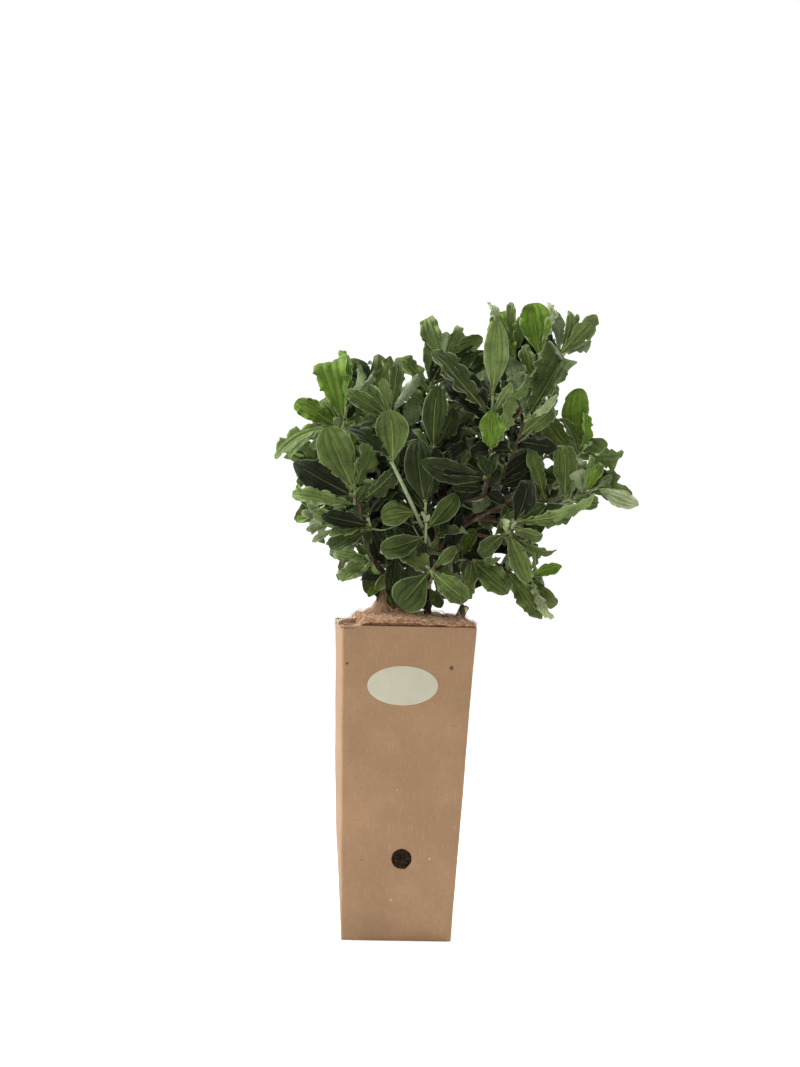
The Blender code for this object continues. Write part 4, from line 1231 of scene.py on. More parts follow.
def reaching_leaf(root, tip, nearer, wide, roll, more, dice):
    """A leaf and its look, from a root to a pixel of the photograph."""
    tip = from_photo(*tip, root.y - nearer * MM)
    chord = tip - root
    ahead = chord.normalized()
    facing = Vector(CAMERA_PLACE) - (root + tip) / 2
    facing = (facing - ahead * facing.dot(ahead)).normalized()
    roll += dice.uniform(-16, 16)
    facing = Matrix.Rotation(math.radians(roll), 3, ahead) @ facing
    more = dict(more)
    bend = math.radians(more.pop("bend", dice.uniform(15, 40)))
    look = look_of(dice)
    more = {key: math.radians(value) if key in ("fold", "curl", "sway", "twist") else value
            for key, value in more.items()}
    look = look._replace(**{"curl": look.curl * 0.8, "twist": look.twist * 0.5, **more})
    run, drop, _ = (part[-1] for part in midline(np.linspace(0, 1, 60), bend, look))
    lift = math.atan2(drop, run)
    way = ahead * math.cos(lift) + facing * math.sin(lift)
    up = facing * math.cos(lift) - ahead * math.sin(lift)
    length = chord.length / math.hypot(run, drop)
    across = wide * (root.y - CAMERA_PLACE[1]) / VIEW_DISTANCE_PX
    width = across / max(abs(math.cos(math.radians(roll))), 0.35) / math.cos(look.fold)
    return Leaf(root, way, up, length, min(width, 0.8 * length), bend), look


class FrontView:
    """What the photograph shows from the front, which the other leaves must not spoil."""

    def __init__(self, leaves):
        points, faces = [], []
        for leaf in leaves:
            own_points, own_faces = leaf_mesh(leaf, (0.04, *LEAF_STATIONS[1:]))
            faces += [tuple(i + len(points) for i in face) for face in own_faces]
            points += own_points
        self.tree = BVHTree.FromPolygons(points, faces)

    def spoiled_by(self, leaf, look):
        """Whether a leaf would hide or cut one of these leaves, or show where there is sky."""
        dice = random.Random(0)
        top = fine_leaf(leaf, look, dice, PLAIN)[0]
        rows = [int((len(top) - 1) * share) for share in (0.3, 0.5, 0.7, 0.85, 1)]
        columns = (1, len(PLAIN.top) // 2, len(PLAIN.top) - 2)
        before = outside = 0
        for place in (Vector(top[i, j]) for i in rows for j in columns):
            seen = on_photo(place)
            outside += not inside(seen, CROWN) or in_sky(seen)
            way = (place - Vector(CAMERA_PLACE)).normalized()
            before += self.tree.ray_cast(place + way * 0.5 * MM, way, 0.4)[0] is not None
        if outside > 1 or before > 2:
            return True
        return bool(self.tree.overlap(bvh_of(*leaf_mesh(leaf, (0.1, *LEAF_STATIONS[1:])))))

    def hidden_by(self, path):
        """Whether a twig would pass in front of one of these leaves."""
        ways = [(point, (point - Vector(CAMERA_PLACE)).normalized()) for point in path[1:]]
        return any(self.tree.ray_cast(point + way * MM, way, 0.4)[0] is not None for point, way in ways)


def inside(place, outline):
    """Whether a place in the photograph lies inside a closed outline."""
    within = False
    for (ax, ay), (bx, by) in zip(outline, outline[1:] + outline[:1]):
        if (ay > place.y) != (by > place.y) and place.x < ax + (bx - ax) * (place.y - ay) / (by - ay):
            within = not within
    return within


class Cover:
    """How many leaves lie over each pixel of the photograph's crown so far."""

    def __init__(self):
        self.left, self.top = (int(min(spot[i] for spot in CROWN)) for i in range(2))
        right, bottom = (int(max(spot[i] for spot in CROWN)) for i in range(2))
        self.layers = np.zeros((bottom - self.top + 2, right - self.left + 2), int)

    def add(self, sheet):
        """Counts the pixels that a leaf's upper sheet lies on."""
        own = np.zeros(self.layers.shape, bool)
        for share in (0, 0.25, 0.5, 0.75):
            for across in (0, 0.33, 0.67):
                rows = sheet[:-1] * (1 - share) + sheet[1:] * share
                spots = (rows[:, :-1] * (1 - across) + rows[:, 1:] * across).reshape(-1, 3)
                x, y = (part.astype(int) for part in photo_places(spots))
                x, y = x - self.left, y - self.top
                kept = (x >= 0) & (y >= 0) & (y < own.shape[0]) & (x < own.shape[1])
                own[y[kept], x[kept]] = True
        self.layers += own

    def at(self, place):
        return self.layers[int(place.y) - self.top, int(place.x) - self.left]

    def gaps(self):
        """Places where the photograph has leaves and too few have grown yet, the barest first,
        each with the number of layers that it needs."""
        out = []
        for y in range(2, self.layers.shape[0] - 2, 3):
            for x in range(2, self.layers.shape[1] - 2, 3):
                place = Vector((x + self.left, y + self.top))
                if self.layers[y, x] < FULL_LAYERS and inside(place, CROWN) and not in_sky(place, 2):
                    needed = 1 if near_rim(place) else FULL_LAYERS
                    if self.layers[y - 1:y + 2, x - 1:x + 2].mean() < needed - 0.6:
                        out.append((self.layers[y, x], place, needed))
        return [(place, needed) for _, place, needed in sorted(out, key=lambda gap: gap[0])]


def photo_places(points):
    """Rows of points as columns and rows of the photograph's pixels."""
    away = points[:, 1] - CAMERA_PLACE[1]
    across = VIEW_DISTANCE_PX * (points[:, 0] - CAMERA_PLACE[0]) / away
    down = VIEW_DISTANCE_PX * (CAMERA_PLACE[2] - points[:, 2]) / away
    cos, sin = math.cos(CAMERA_ROLL), math.sin(CAMERA_ROLL)
    return PHOTO_WIDE / 2 + across * cos - down * sin, PHOTO_TALL / 2 + across * sin + down * cos


def in_sky(place, more=0):
    return any((place - Vector(gap[:2])).length < gap[2] + more for gap in SKY)


class SideTwig(NamedTuple):
    """A fine twig on a shoot, with its leaves."""

    shoot: str
    path: list
    leaves: list


SIDE_TWIG_PLACES = (0.3, 0.48, 0.64, 0.8)
SIDE_PAIRS = ((1.0, 15, 16), (0.97, 27, 36), (0.66, 33, 58), (0.34, 30, 74))


def side_twigs(shoots, taken):
    """Fine twigs from the corners of the shoots' leaves, each with a few pairs of small leaves."""
    out = []
    for shoot in SHOOTS:
        path = shoots[shoot.name].path
        whole = path_length(path)
        for n, share in enumerate(SIDE_TWIG_PLACES):
            dice = random.Random(f"{shoot.name} side {n}")
            foot, way = along(path, whole * share)
            heading = math.radians(shoot.turn + 137.5 * n + dice.uniform(-20, 20))
            slant = math.radians(dice.uniform(40, 62))
            front = front_of(way)
            aside = way.cross(front) * math.cos(heading) + front * math.sin(heading)
            ahead = way * math.cos(slant) + aside * math.sin(slant)
            length = dice.uniform(14, 26) * MM
            tip = foot + ahead * length + Vector((0, 0, 0.2 * length))
            own = curve_through([foot, foot + ahead * length * 0.5, tip], 3 * MM)
            leaves = []
            for k, (place, size, lean) in enumerate(SIDE_PAIRS):
                for i in range(2):
                    point, along_way = along(own, path_length(own) * place - 0.5 * i * MM)
                    turned = heading + math.radians(90 * k + 180 * i + dice.uniform(-12, 12))
                    leaf = leaf_at(point, along_way, turned, math.radians(lean + dice.uniform(-6, 8)),
                                   size * dice.uniform(0.8, 1.2) * MM, 0.6, dice)
                    if not taken.touches(*leaf_mesh(leaf, (0.15, *LEAF_STATIONS[1:])), lambda owner: True):
                        leaves.append(leaf)
            if len(leaves) > 2:
                out.append(SideTwig(shoot.name, own, leaves))
    return out


def places_on(shoots):
    """Places a few millimetres apart on every shoot, with its name and where the photograph
    has them."""
    out = []
    for name, own in shoots.items():
        count = max(2, round(path_length(own.path) / (5 * MM)))
        for i in range(1, count + 1):
            point = along(own.path, path_length(own.path) * i / count)[0]
            out.append((name, point, on_photo(point)))
    return out


class Filled:
    """Which small cells of space have a leaf in them so far."""

    def __init__(self):
        self.cells = set()

    def add(self, sheet):
        self.cells |= set(map(tuple, np.floor(sheet.reshape(-1, 3) / INNER_CELL).astype(int)))

    def has(self, place):
        return tuple(np.floor(row(place) / INNER_CELL).astype(int)) in self.cells


INNER_CELL = 12 * MM
INNER_REACH = (13 * MM, 34 * MM)
INNER_TRIES = 9000
INNER_BOX = ((-0.14, 0.18), (-0.05, 0.135), (0.335, 0.59))


def inner_leaves(filled, hosts, view):
    """Leaves that fill the crown's depth, seen from the sides and from above."""
    dice = random.Random(31)
    for _ in range(INNER_TRIES):
        spot = Vector(dice.uniform(*limits) for limits in INNER_BOX)
        if filled.has(spot) or not inside(on_photo(spot), CROWN):
            continue
        name, root, _ = min(hosts, key=lambda host: (host[1] - spot).length)
        reach = (spot - root).length
        if not INNER_REACH[0] < reach < INNER_REACH[1]:
            continue
        ahead = (spot - root).normalized()
        up = Vector((dice.gauss(0, 0.4), dice.gauss(0, 0.4), 1))
        up = (up - ahead * up.dot(ahead)).normalized()
        length = reach * dice.uniform(1.2, 1.5)
        width = length * dice.uniform(0.32, 0.42)
        leaf = Leaf(root, ahead, up, length, width, math.radians(dice.uniform(15, 45)))
        look = look_of(dice)
        if not view.spoiled_by(leaf, look):
            yield name, leaf, look


def rank(host, gap):
    """Lowest for a place some way off a gap in the photograph, and deep in the crown."""
    return abs((host[2] - gap).length - FILL_REACH) - FILL_DEPTH * host[1].y


def filling_leaves(cover, hosts, view):
    """Leaves that spread into what is still open in the crown and isn't in the photograph."""
    dice = random.Random(23)
    for gap, needed in cover.gaps():
        bare = cover.at(gap) == 0
        if cover.at(gap) >= needed:
            continue
        nearest = sorted(hosts, key=lambda host: rank(host, gap))
        for name, root, seen in nearest[:FILL_TRIES if bare else BACK_TRIES]:
            reach = (gap - seen).length
            if not FILL_SPAN[0] < reach < FILL_SPAN[1]:
                continue
            past = gap + (gap - seen) * dice.uniform(0.35, 0.6)
            wide = min(max(reach * 0.6, 9), 20)
            leaf, look = reaching_leaf(root, (past.x, past.y), dice.uniform(-8, 10), wide,
                                       dice.uniform(-40, 40), {}, dice)
            if not view.spoiled_by(leaf, look):
                yield name, leaf, look, near_rim(gap)
                break


FILL_TRIES, BACK_TRIES = 60, 5
FILL_REACH, FILL_SPAN = 24, (8, 48)  # in the photograph's pixels
FILL_DEPTH = 150  # those pixels for a metre of depth
FULL_LAYERS = 2


def near_rim(place):
    """Whether the crown ends close to a place in the photograph."""
    turns = (math.radians(45 * k) for k in range(8))
    return not all(inside(place + Vector((math.cos(t), math.sin(t))) * RIM_REACH, CROWN) for t in turns)


RIM_REACH = 24  # in the photograph's pixels


def add_leaf(skin, leaf, look, dice, detail):
    """Adds a leaf to a piece and returns its upper sheet."""
    top, kinds, under = fine_leaf(leaf, look, dice, detail)
    skin.sheet(top, kinds)
    skin.sheet(under, UNDER, flip=True)
    return top


def young_leaves(shoot, own, kept, taken):
    """The small leaves that unfold at a shoot's tip and in the corners of its leaves."""
    length = path_length(own.path)
    tip, way = along(own.path, length)
    dice = random.Random(shoot.name + " tip")
    out = []
    for k, (size, slant) in enumerate(((dice.uniform(13, 21), 16), (dice.uniform(7, 11), 10))):
        for i in range(2):
            heading = math.radians(shoot.turn - 90 * (k + 1) + 180 * i + dice.uniform(-12, 12))
            point = tip - way * (0.4 + 0.3 * k) * MM
            out.append(leaf_at(point, way, heading, math.radians(slant + dice.uniform(-4, 6)),
                               size * MM, 0.2, dice))
    for k, i, leaf in kept:
        dice = random.Random(f"{shoot.name} {k} {i} corner")
        if k == 0 or dice.random() > 0.7:
            continue
        _, way = along(own.path, length * 0.5)
        between = (leaf.way * 0.6 + way * dice.uniform(0.3, 0.8)).normalized()
        point = leaf.root + between * 1.2 * MM
        size = dice.uniform(9, 24)
        for turn in (40, 220):
            out.append(leaf_at(point, between, math.radians(turn + dice.uniform(-20, 20)),
                               math.radians(dice.uniform(18, 40)), size * MM, 0.3, dice))
    return [leaf for leaf in out if not taken.touches(*leaf_mesh(leaf, (0.35, 0.6, 0.85)),
                                                      lambda owner: not owner.endswith(" root"))]


def darker(tone, steps):
    """The tone that is some steps darker than another."""
    for _ in range(steps):
        tone = DARKER[tone]
    return tone


def tone_of(name, leaf, steps):
    """A leaf's tone: its spray's, some steps darker as painted shade further into the crown, and lighter as
    painted light from behind where it faces away at the back.
    """
    if name not in SPRAY_TONES and leaf.way.y > 0.15:
        return darker("back", max(steps - 1, 0))
    return darker(SPRAY_TONES.get(name, BACK_TONE), steps)


BACK_DEPTH = 50 * MM


def add_foliage(shoots, leaves, twigs, taken):
    """All leaves, in one piece for each tone. Returns the side twigs that are kept."""
    stalk = plain_material("leaf_stalk", (140, 150, 78), 0.6, 0.1)
    skins = {}
    for tone, rgb in TONES.items():
        # Painted shade in the side veins' grooves: the blade's green darkened.
        groove = [0.86 * c for c in rgb]
        # The tints are weaker on shade and deep leaves, which lie in painted shade.
        strength = 0.6 if tone in ("shade", "deep") else 1
        vein, margin, grey = ([c + strength * share * (v - c) for c, v in zip(rgb, other)]
                              for share, other in (VEIN_TINT, MARGIN_HAIR_AND_HIGHLIGHT_TINT, UNDER_TINT))
        skins[tone] = Skin("leaves_" + tone, [
            leaf_material("blade_" + tone, rgb), plain_material("vein_" + tone, vein, 0.6, 0.06),
            plain_material("margin_" + tone, margin, 0.75, 0.06),
            leaf_material("under_" + tone, grey, under=True), stalk,
            plain_material("groove_" + tone, groove, 0.6, 0.1)], "foliage")
    front = {shoot.name: [seen_leaf(shoots[shoot.name], row, random.Random(f"{shoot.name} seen {n}"))
                          for n, row in enumerate(SEEN.get(shoot.name, ()))] for shoot in SHOOTS}
    view = FrontView(leaf for rows in front.values() for leaf, _, _ in rows)
    cover, filled = Cover(), Filled()

    def grow(name, tone, leaf, look, seed, detail=PLAIN):
        sheet = add_leaf(skins[tone], leaf, look, random.Random(seed), detail)
        cover.add(sheet)
        filled.add(sheet)
        skins[tone].nodes.add(name)

    for shoot in SHOOTS:
        tone = SPRAY_TONES.get(shoot.name, BACK_TONE)
        for n, (leaf, look, own_tone) in enumerate(front[shoot.name]):
            grow(shoot.name, own_tone, leaf, look, f"{shoot.name} seen {n} waves", FINE)
        for k, i, leaf in leaves[shoot.name]:
            look = look_of(random.Random(f"{shoot.name} {k} {i} look"))
            if not view.spoiled_by(leaf, look):
                # Painted shade: a step darker for every two pairs down the shoot, at most two.
                own_tone = tone_of(shoot.name, leaf, min(k // 2, 2))
                grow(shoot.name, own_tone, leaf, look, f"{shoot.name} {k} {i} waves")
        # Young leaves are pale, but olive on shade and deep sprays as painted shade.
        young_tone = "pale" if tone not in ("shade", "deep") else "olive"
        for n, leaf in enumerate(young_leaves(shoot, shoots[shoot.name], leaves[shoot.name], taken)):
            look = look_of(random.Random(f"{shoot.name} young {n}"))
            if not view.spoiled_by(leaf, look):
                grow(shoot.name, young_tone, leaf, look, f"{shoot.name} young {n} waves")
    kept_twigs = []
    for n, twig in enumerate(twigs):
        looks = [look_of(random.Random(f"side {n} {k}")) for k in range(len(twig.leaves))]
        kept = [k for k, leaf in enumerate(twig.leaves) if not view.spoiled_by(leaf, looks[k])]
        if len(kept) < 3 or view.hidden_by(twig.path):
            continue
        kept_twigs.append(twig)
        for k in kept:
            leaf = twig.leaves[k]
            # Side twigs' leaves are a step darker, as painted shade inside the crown.
            grow(twig.shoot, tone_of(twig.shoot, leaf, 1), leaf, looks[k], f"side {n} {k} waves")
    hosts = places_on(shoots)
    for n, (name, leaf, look) in enumerate(inner_leaves(filled, hosts, view)):
        grow(name, tone_of(name, leaf, n % 2), leaf, look, f"inner {n}", COARSE)
    for n, (name, leaf, look, rim) in enumerate(filling_leaves(cover, hosts, view)):
        # Painted light and shade by place: mid near the crown's rim, olive at the back, shade inside the
        # front of the crown.
        tone = "mid" if rim else "olive" if leaf.root.y > BACK_DEPTH else "shade"
        grow(name, tone, leaf, look, f"filling {n}", COARSE)
    for skin in skins.values():
        skin.made()
    return kept_twigs


# Stems, boughs and twigs

def bark_relief(seed, depth):
    """Lumps of bark that are longer along a limb than round it."""
    def relief(share, turns):
        out = []
        for turn in turns:
            spot = Vector((math.cos(turn) * 2.2, math.sin(turn) * 2.2, share * 14 + seed))
            out.append(noise.noise(spot) + 0.5 * noise.noise(spot * 2.7))
        return depth * np.array(out)
    return relief


def share_radius(own, scale=1.0):
    """The radius at a share of a limb's length."""
    shares = [0.0]
    for a, b in zip(own.path, own.path[1:]):
        shares.append(shares[-1] + (b - a).length)
    return lambda share: scale * float(np.interp(share * shares[-1], shares, own.radii))


def add_stems(limbs):
    """Stems and boughs with their bark. The younger ones are paler."""
    red_brown = plain_material("bark_dark", (62, 38, 32), 0.7, 0.3, 260, grain=(1, 1, 0.25), bump=0.6)
    tan = plain_material("bark_young", (104, 80, 62), 0.75, 0.25, 260, 0.15, (1, 1, 0.25), 0.5)
    skin = Skin("stems", [red_brown, tan], "bark")
    for n, limb in enumerate(LIMBS):
        own = limbs[limb.name]
        kind = 1 if limb.name in ("right_bough", "left_stem") else 0
        depth = 0.22 * MM if kind == 0 else 0.14 * MM
        radius = share_radius(own, 1.12)
        skin.sheet(fine_tube(own.path, radius, 20, 1.6 * MM, bark_relief(n * 5, depth)), kind, ring=True)
        skin.nodes.add(limb.name)
    skin.made()


def joint_radius(size):
    """The radius of the swelling where a pair of leaves leaves a twig of that size."""
    return lambda share: size * (1.02 + 0.42 * math.sin(math.pi * min(share, 1) ** 1.6))


def add_twigs(shoots, side):
    """The shoots' own twigs, swollen where their leaves leave them, and the side twigs."""
    green = plain_material("twig_green", (142, 156, 108), 0.75, 0.1, 300, 0.3, bump=0.4)
    brown = plain_material("twig_brown", (80, 58, 42), 0.7, 0.16, 300, 0.2, bump=0.4)
    joint = plain_material("twig_joint", (110, 80, 50), 0.7, 0.14, 300, 0.15, bump=0.4)
    skin = Skin("twigs", [green, brown, joint], "foliage")
    for shoot in SHOOTS:
        own = shoots[shoot.name]
        length = path_length(own.path)
        thick = THICK_TWIGS.get(shoot.name, 1.15)
        radius = share_radius(own, thick)
        points = fine_tube(own.path, radius, 10, 2.4 * MM, bark_relief(len(shoot.name), 0.06 * MM))
        rows = len(points) - 1
        kinds = np.where(np.arange(rows) / rows > GREEN_FROM.get(shoot.name, 0.55), 0, 1)
        skin.sheet(points, np.repeat(kinds[:, None], 10, axis=1), ring=True)
        places = sorted({round(place / MM, 1) for place, _, _ in pair_rows(shoot, length)})
        for place in places:
            middle = place * MM
            if middle < 5 * MM:
                continue
            ends = [along(own.path, middle + step * MM)[0] for step in (-3.4, -1.6, 0, 0.6)]
            size = radius(middle / length)
            kind = 2 if middle < length - 2 * MM else 0
            skin.sheet(fine_tube(ends, joint_radius(size), 9, 0.9 * MM), kind, ring=True)
        skin.nodes.add(shoot.name)
    for twig in side:
        skin.sheet(fine_tube(twig.path, lambda share: (0.95 - 0.4 * share) * MM, 7, 3 * MM), 0, ring=True)
    skin.made()


# How much thicker than in the source a twig is, and the share of its length where it turns green.
THICK_TWIGS = {"front_long": 1.55, "left_top": 1.3, "centre_tall": 1.35, "front_low": 1.2}
GREEN_FROM = {"front_long": -1.0, "left_top": 0.2, "front_low": 0.0, "left_front": 0.4, "right_dark": 1.0}


# Pot

BOARD_DARK, BOARD_LIGHT = (160, 121, 83), (174, 135, 94)
# BOARD_SHADE colours the board's darker cross fibres, and also the strip of painted shadow along the crease.
BOARD_FLECK, BOARD_SHADE = (196, 160, 122), (138, 103, 74)
BOARD_SPECK, BOARD_PALE, BOARD_SMUDGE = (84, 58, 40), (222, 196, 162), (118, 86, 60)
SMUDGES = (((0.058, -0.062, 0.222), 0.013, 0.4), ((0.045, -0.058, 0.03), 0.03, 0.22))
# Dark dots on the front panel: how far across it, their height and reach.
DOTS = ((0.66, 257.0 * MM, 2.9 * MM), (-0.92, 259.6 * MM, 2.0 * MM))
BOARD_DOT = (66, 34, 14)
# The short crease under the rim at the left of the front panel: its depth, and the height and span of the
# strip of painted shadow along it.
CREASE_SHADOW_HEIGHT, CREASE_DEPTH = 292.2 * MM, 1.1 * MM
CREASE_SHADOW_FROM, CREASE_SHADOW_TO = -60 * MM, -45 * MM
CREASE_ROWS = (0.2895, 0.2905, 0.2913, 0.2919, 0.2925, 0.2931, 0.2938)
PANEL_STEPS = 26
CORNER_TURNS = tuple(math.radians(turn) for turn in (22.5, 45, 67.5))


def fine_wall(inset, height):
    """The pot's outline at one height with smooth panels and rounded corners."""
    share = min(max(height / POT_HEIGHT, 0.0), 1.0)
    half = (POT_FOOT_SIDE + (POT_TOP_SIDE - POT_FOOT_SIDE) * share) / 2 - inset
    corner = max(POT_CORNER - inset, 0.5 * MM)
    bulge = POT_BULGE * math.sin(math.pi * share)
    spots = []
    middle = Vector((POT_LEAN * share, 0, height))
    for panel in range(4):
        turn = POT_FOOT_TURN + (POT_TOP_TURN - POT_FOOT_TURN) * share + panel * math.pi / 2
        turned = Matrix.Rotation(turn, 3, "Z")
        flat = [(across * (half - corner), -half - bulge * (1 - across * across))
                for across in np.linspace(-1, 1, PANEL_STEPS + 1)]
        rounded = [(half - corner + corner * math.sin(t), -half + corner - corner * math.cos(t))
                   for t in CORNER_TURNS]
        spots += [turned @ Vector((x, y, 0)) + middle for x, y in flat + rounded]
    return np.array([tuple(p) for p in spots])


def dent_at(spot):
    """How far small dents and swellings of the board lie outward at a place."""
    return 0.5 * MM * noise.noise(spot / (38 * MM)) + 0.15 * MM * noise.noise(spot / (9 * MM))


def dented(ring):
    """A ring of the board with its dents, and the crease under the rim at the left."""
    out = ring.copy()
    for n, point in enumerate(ring):
        away = Vector((point[0], point[1], 0)).normalized()
        creased = -64 * MM < point[0] < -48 * MM and point[1] < 0
        crease = math.exp(-((point[2] - 0.2925) / (0.6 * MM)) ** 2) * creased
        out[n] += row(away) * (dent_at(Vector(point)) - CREASE_DEPTH * crease)
    return out


def add_pot():
    """The pot of board, with its drain hole."""
    heights = [*np.linspace(0, 0.288, 49), *CREASE_ROWS, POT_HEIGHT - 0.3 * MM]
    outer = [dented(fine_wall(0, z)) for z in heights]
    dents = outer[-1] - fine_wall(0, heights[-1])
    rim = [fine_wall(inset, POT_HEIGHT) + dents for inset in (0.35 * MM, BOARD - 0.35 * MM)]
    inner = [outer[-1 - k] - fine_wall(0, z) + fine_wall(BOARD, z) for k, z in enumerate(reversed(heights))]
    inner = [ring for ring in inner if ring[0][2] > BOARD]
    under = [fine_wall(25 * MM, 0), fine_wall(1.5 * MM, 0)]
    over = [fine_wall(25 * MM, BOARD)]
    ends = [np.repeat(np.array([[0, 0, z]]), len(outer[0]), axis=0) for z in (0.0, BOARD)]
    # Painted shadow: the quads along the crease under the rim take a darker board colour.
    crease = plain_material("board_crease", BOARD_SHADE, 0.8)
    skin = Skin("pot_board", [board_material(), crease], "kraft_board")
    rings = np.stack([ends[0], *under, *outer, *rim, *inner, *over, ends[1]])
    creased = (abs(rings[:-1, :, 2] - CREASE_SHADOW_HEIGHT) < 0.5 * MM) & (rings[:-1, :, 1] < 0)
    creased &= (rings[:-1, :, 0] > CREASE_SHADOW_FROM) & (rings[:-1, :, 0] < CREASE_SHADOW_TO)
    skin.sheet(rings, creased.astype(int), ring=True)
    skin.nodes.add("pot")
    pot = skin.made()
    face_outward(pot.data, 1e-6)
    drill = drill_mesh()
    face_outward(drill)
    cutter = bpy.data.objects.new("drill", drill)
    bpy.context.scene.collection.objects.link(cutter)
    cut = pot.modifiers.new("hole", "BOOLEAN")
    cut.operation, cut.object, cut.solver = "DIFFERENCE", cutter, "EXACT"
    graph = bpy.context.evaluated_depsgraph_get()
    made = bpy.data.meshes.new_from_object(pot.evaluated_get(graph))
    pot.modifiers.clear()
    pot.data = made
    pot.data.set_sharp_from_angle(angle=math.radians(50))
    bpy.data.objects.remove(cutter)


def face_outward(mesh, join_within=0.0):
    """Joins points that lie together, where that is asked, and turns all faces outward."""
    shell = bmesh.new()
    shell.from_mesh(mesh)
    if join_within:
        bmesh.ops.remove_doubles(shell, verts=shell.verts, dist=join_within)
    bmesh.ops.recalc_face_normals(shell, faces=shell.faces)
    shell.to_mesh(mesh)
    shell.free()


HOLE_SIDES = 40


def drill_mesh():
    """A short bar with the drain hole's slightly uneven outline."""
    place, ring = hole_place(), []
    tilt = Matrix.Rotation(POT_TOP_TURN * 0.6, 3, "Z")
    for depth in (-8 * MM, 8 * MM):
        for k in range(HOLE_SIDES):
            turn = 2 * math.pi * k / HOLE_SIDES
            across, up = math.cos(turn), math.sin(turn)
            size = HOLE_RADIUS + 0.35 * MM * noise.noise(Vector((across * 2, up * 2, 3)))
            ring.append(tuple(place + tilt @ Vector((size * across, depth, size * up))))
    drill = bpy.data.meshes.new("drill")
    drill.from_pydata(ring, [], loft_faces(2, HOLE_SIDES))
    return drill


def hole_place():
    return pot_front(HOLE_ACROSS, HOLE_HEIGHT, 0)


def pot_front(across, height, depth):
    """A point of the smooth front panel."""
    share = height / POT_HEIGHT
    half = (POT_FOOT_SIDE + (POT_TOP_SIDE - POT_FOOT_SIDE) * share) / 2
    bulge = POT_BULGE * math.sin(math.pi * share) * (1 - across * across)
    turned = Matrix.Rotation(POT_FOOT_TURN + (POT_TOP_TURN - POT_FOOT_TURN) * share, 3, "Z")
    return turned @ Vector((across * half, -half - bulge + depth, 0)) + Vector((POT_LEAN * share, 0, height))


# From the label's middle to its edge: the share of its size, and millimetres behind the panel.
LABEL_RINGS = ((0.0, -0.55), (0.2, -0.55), (0.4, -0.55), (0.6, -0.55), (0.8, -0.55), (0.95, -0.55),
               (0.99, -0.52), (1.0, -0.4), (1.0, 0.3))


def add_label():
    """The bare oval label, which follows the panel's dents."""
    shader = Shader("label_paper", roughness=0.42, specular=0.35)
    grains = shader.noise(300, 4, 0.6)
    wide = shader.noise(25, 3)
    base = shader.mix(shader.ramp(wide, 0.3, 0.7), linear(198, 192, 166), linear(208, 203, 178))
    shader.colour(shader.mix(shader.ramp(grains, 0.55, 0.75, 0, 0.25), base, linear(214, 210, 190)))
    shader.bump(grains, 0.12, 0.0002)
    rings = []
    for size, depth in LABEL_RINGS:
        ring = []
        for k in range(96):
            turn = 2 * math.pi * k / 96
            height = LABEL_HEIGHT + LABEL_TALL / 2 * size * math.sin(turn)
            half = (POT_FOOT_SIDE + (POT_TOP_SIDE - POT_FOOT_SIDE) * height / POT_HEIGHT) / 2
            across = LABEL_ACROSS + LABEL_WIDTH / 2 * size * math.cos(turn) / half
            dent = dent_at(pot_front(across, height, 0))
            ring.append(tuple(pot_front(across, height, depth * MM - dent)))
        rings.append(ring)
    skin = Skin("label_oval", [shader.made], "label_paper")
    skin.sheet(np.array(rings), ring=True, flip=True)
    skin.nodes.add("label")
    skin.made()


# Fibre mat, twisted end and soil

LEFT_STEM_FOOT = LIMBS[1].points[0]
MOUND_ASIDE = 5 * MM  # how far left of the stem's foot the mound has its middle
MOUND_LEFT, MOUND_RIGHT, MOUND_DEPTH = 1.45, 2.2, 0.8  # how steep it is to each side
DOME_RISE, DOME_LEFT, DOME_RIGHT, DOME_DEPTH = 7 * MM, 30 * MM, 46 * MM, 38 * MM
SUNK_BY, SUNK_FROM, SUNK_TO = 8.5 * MM, -39 * MM, -50 * MM


def mat_top(x, y):
    """Height of the mat's surface, drawn up round the left stem and sunk at the far left."""
    aside = x - LEFT_STEM_FOOT[0] * MM + MOUND_ASIDE
    away = math.hypot(aside * (MOUND_LEFT if aside < 0 else MOUND_RIGHT),
                      MOUND_DEPTH * (y - LEFT_STEM_FOOT[1] * MM))
    lumps = noise.noise(Vector((x, y, 0)) / (14 * MM)) + 0.5 * noise.noise(Vector((y, x, 9)) / (6 * MM))
    drawn_up = 0.8 * math.exp(-(away / (9 * MM)) ** 2) + 0.2 * math.exp(-(away / (17 * MM)) ** 2)
    right = x - 4 * MM
    reach = DOME_RIGHT if right > 0 else DOME_LEFT
    dome = DOME_RISE * math.exp(-(right / reach) ** 2 - ((y - 8 * MM) / DOME_DEPTH) ** 2)
    high = POT_HEIGHT + MAT_RISE + MAT_MOUND * drawn_up * 0.9 + MAT_LUMP * lumps - 0.02 * x + dome
    finer = noise.noise(Vector((x, y, 4)) / (2.6 * MM))
    coarser = noise.noise(Vector((x, y, 7)) / (5 * MM))
    fine = 0.6 * MM * finer + 1.1 * MM * coarser
    return high + fine - SUNK_BY * float(smooth_step(SUNK_FROM, SUNK_TO, x + 0.1 * y))


def mat_ring(share):
    """A ring of the mat's surface, at a share of the way from its middle to the rim."""
    centre = row((POT_LEAN, 0, 0))
    outline = fine_wall(0.3 * MM, POT_HEIGHT)
    inside = fine_wall(BOARD + 0.2 * MM, POT_HEIGHT)
    low = smooth_step(-36 * MM, -40 * MM, outline[:, 0])[:, None]
    outline = outline * (1 - low) + inside * low
    spots = centre + (outline - centre) * share
    spots[:, 2] = [mat_top(x, y) for x, y in spots[:, :2]]
    return spots


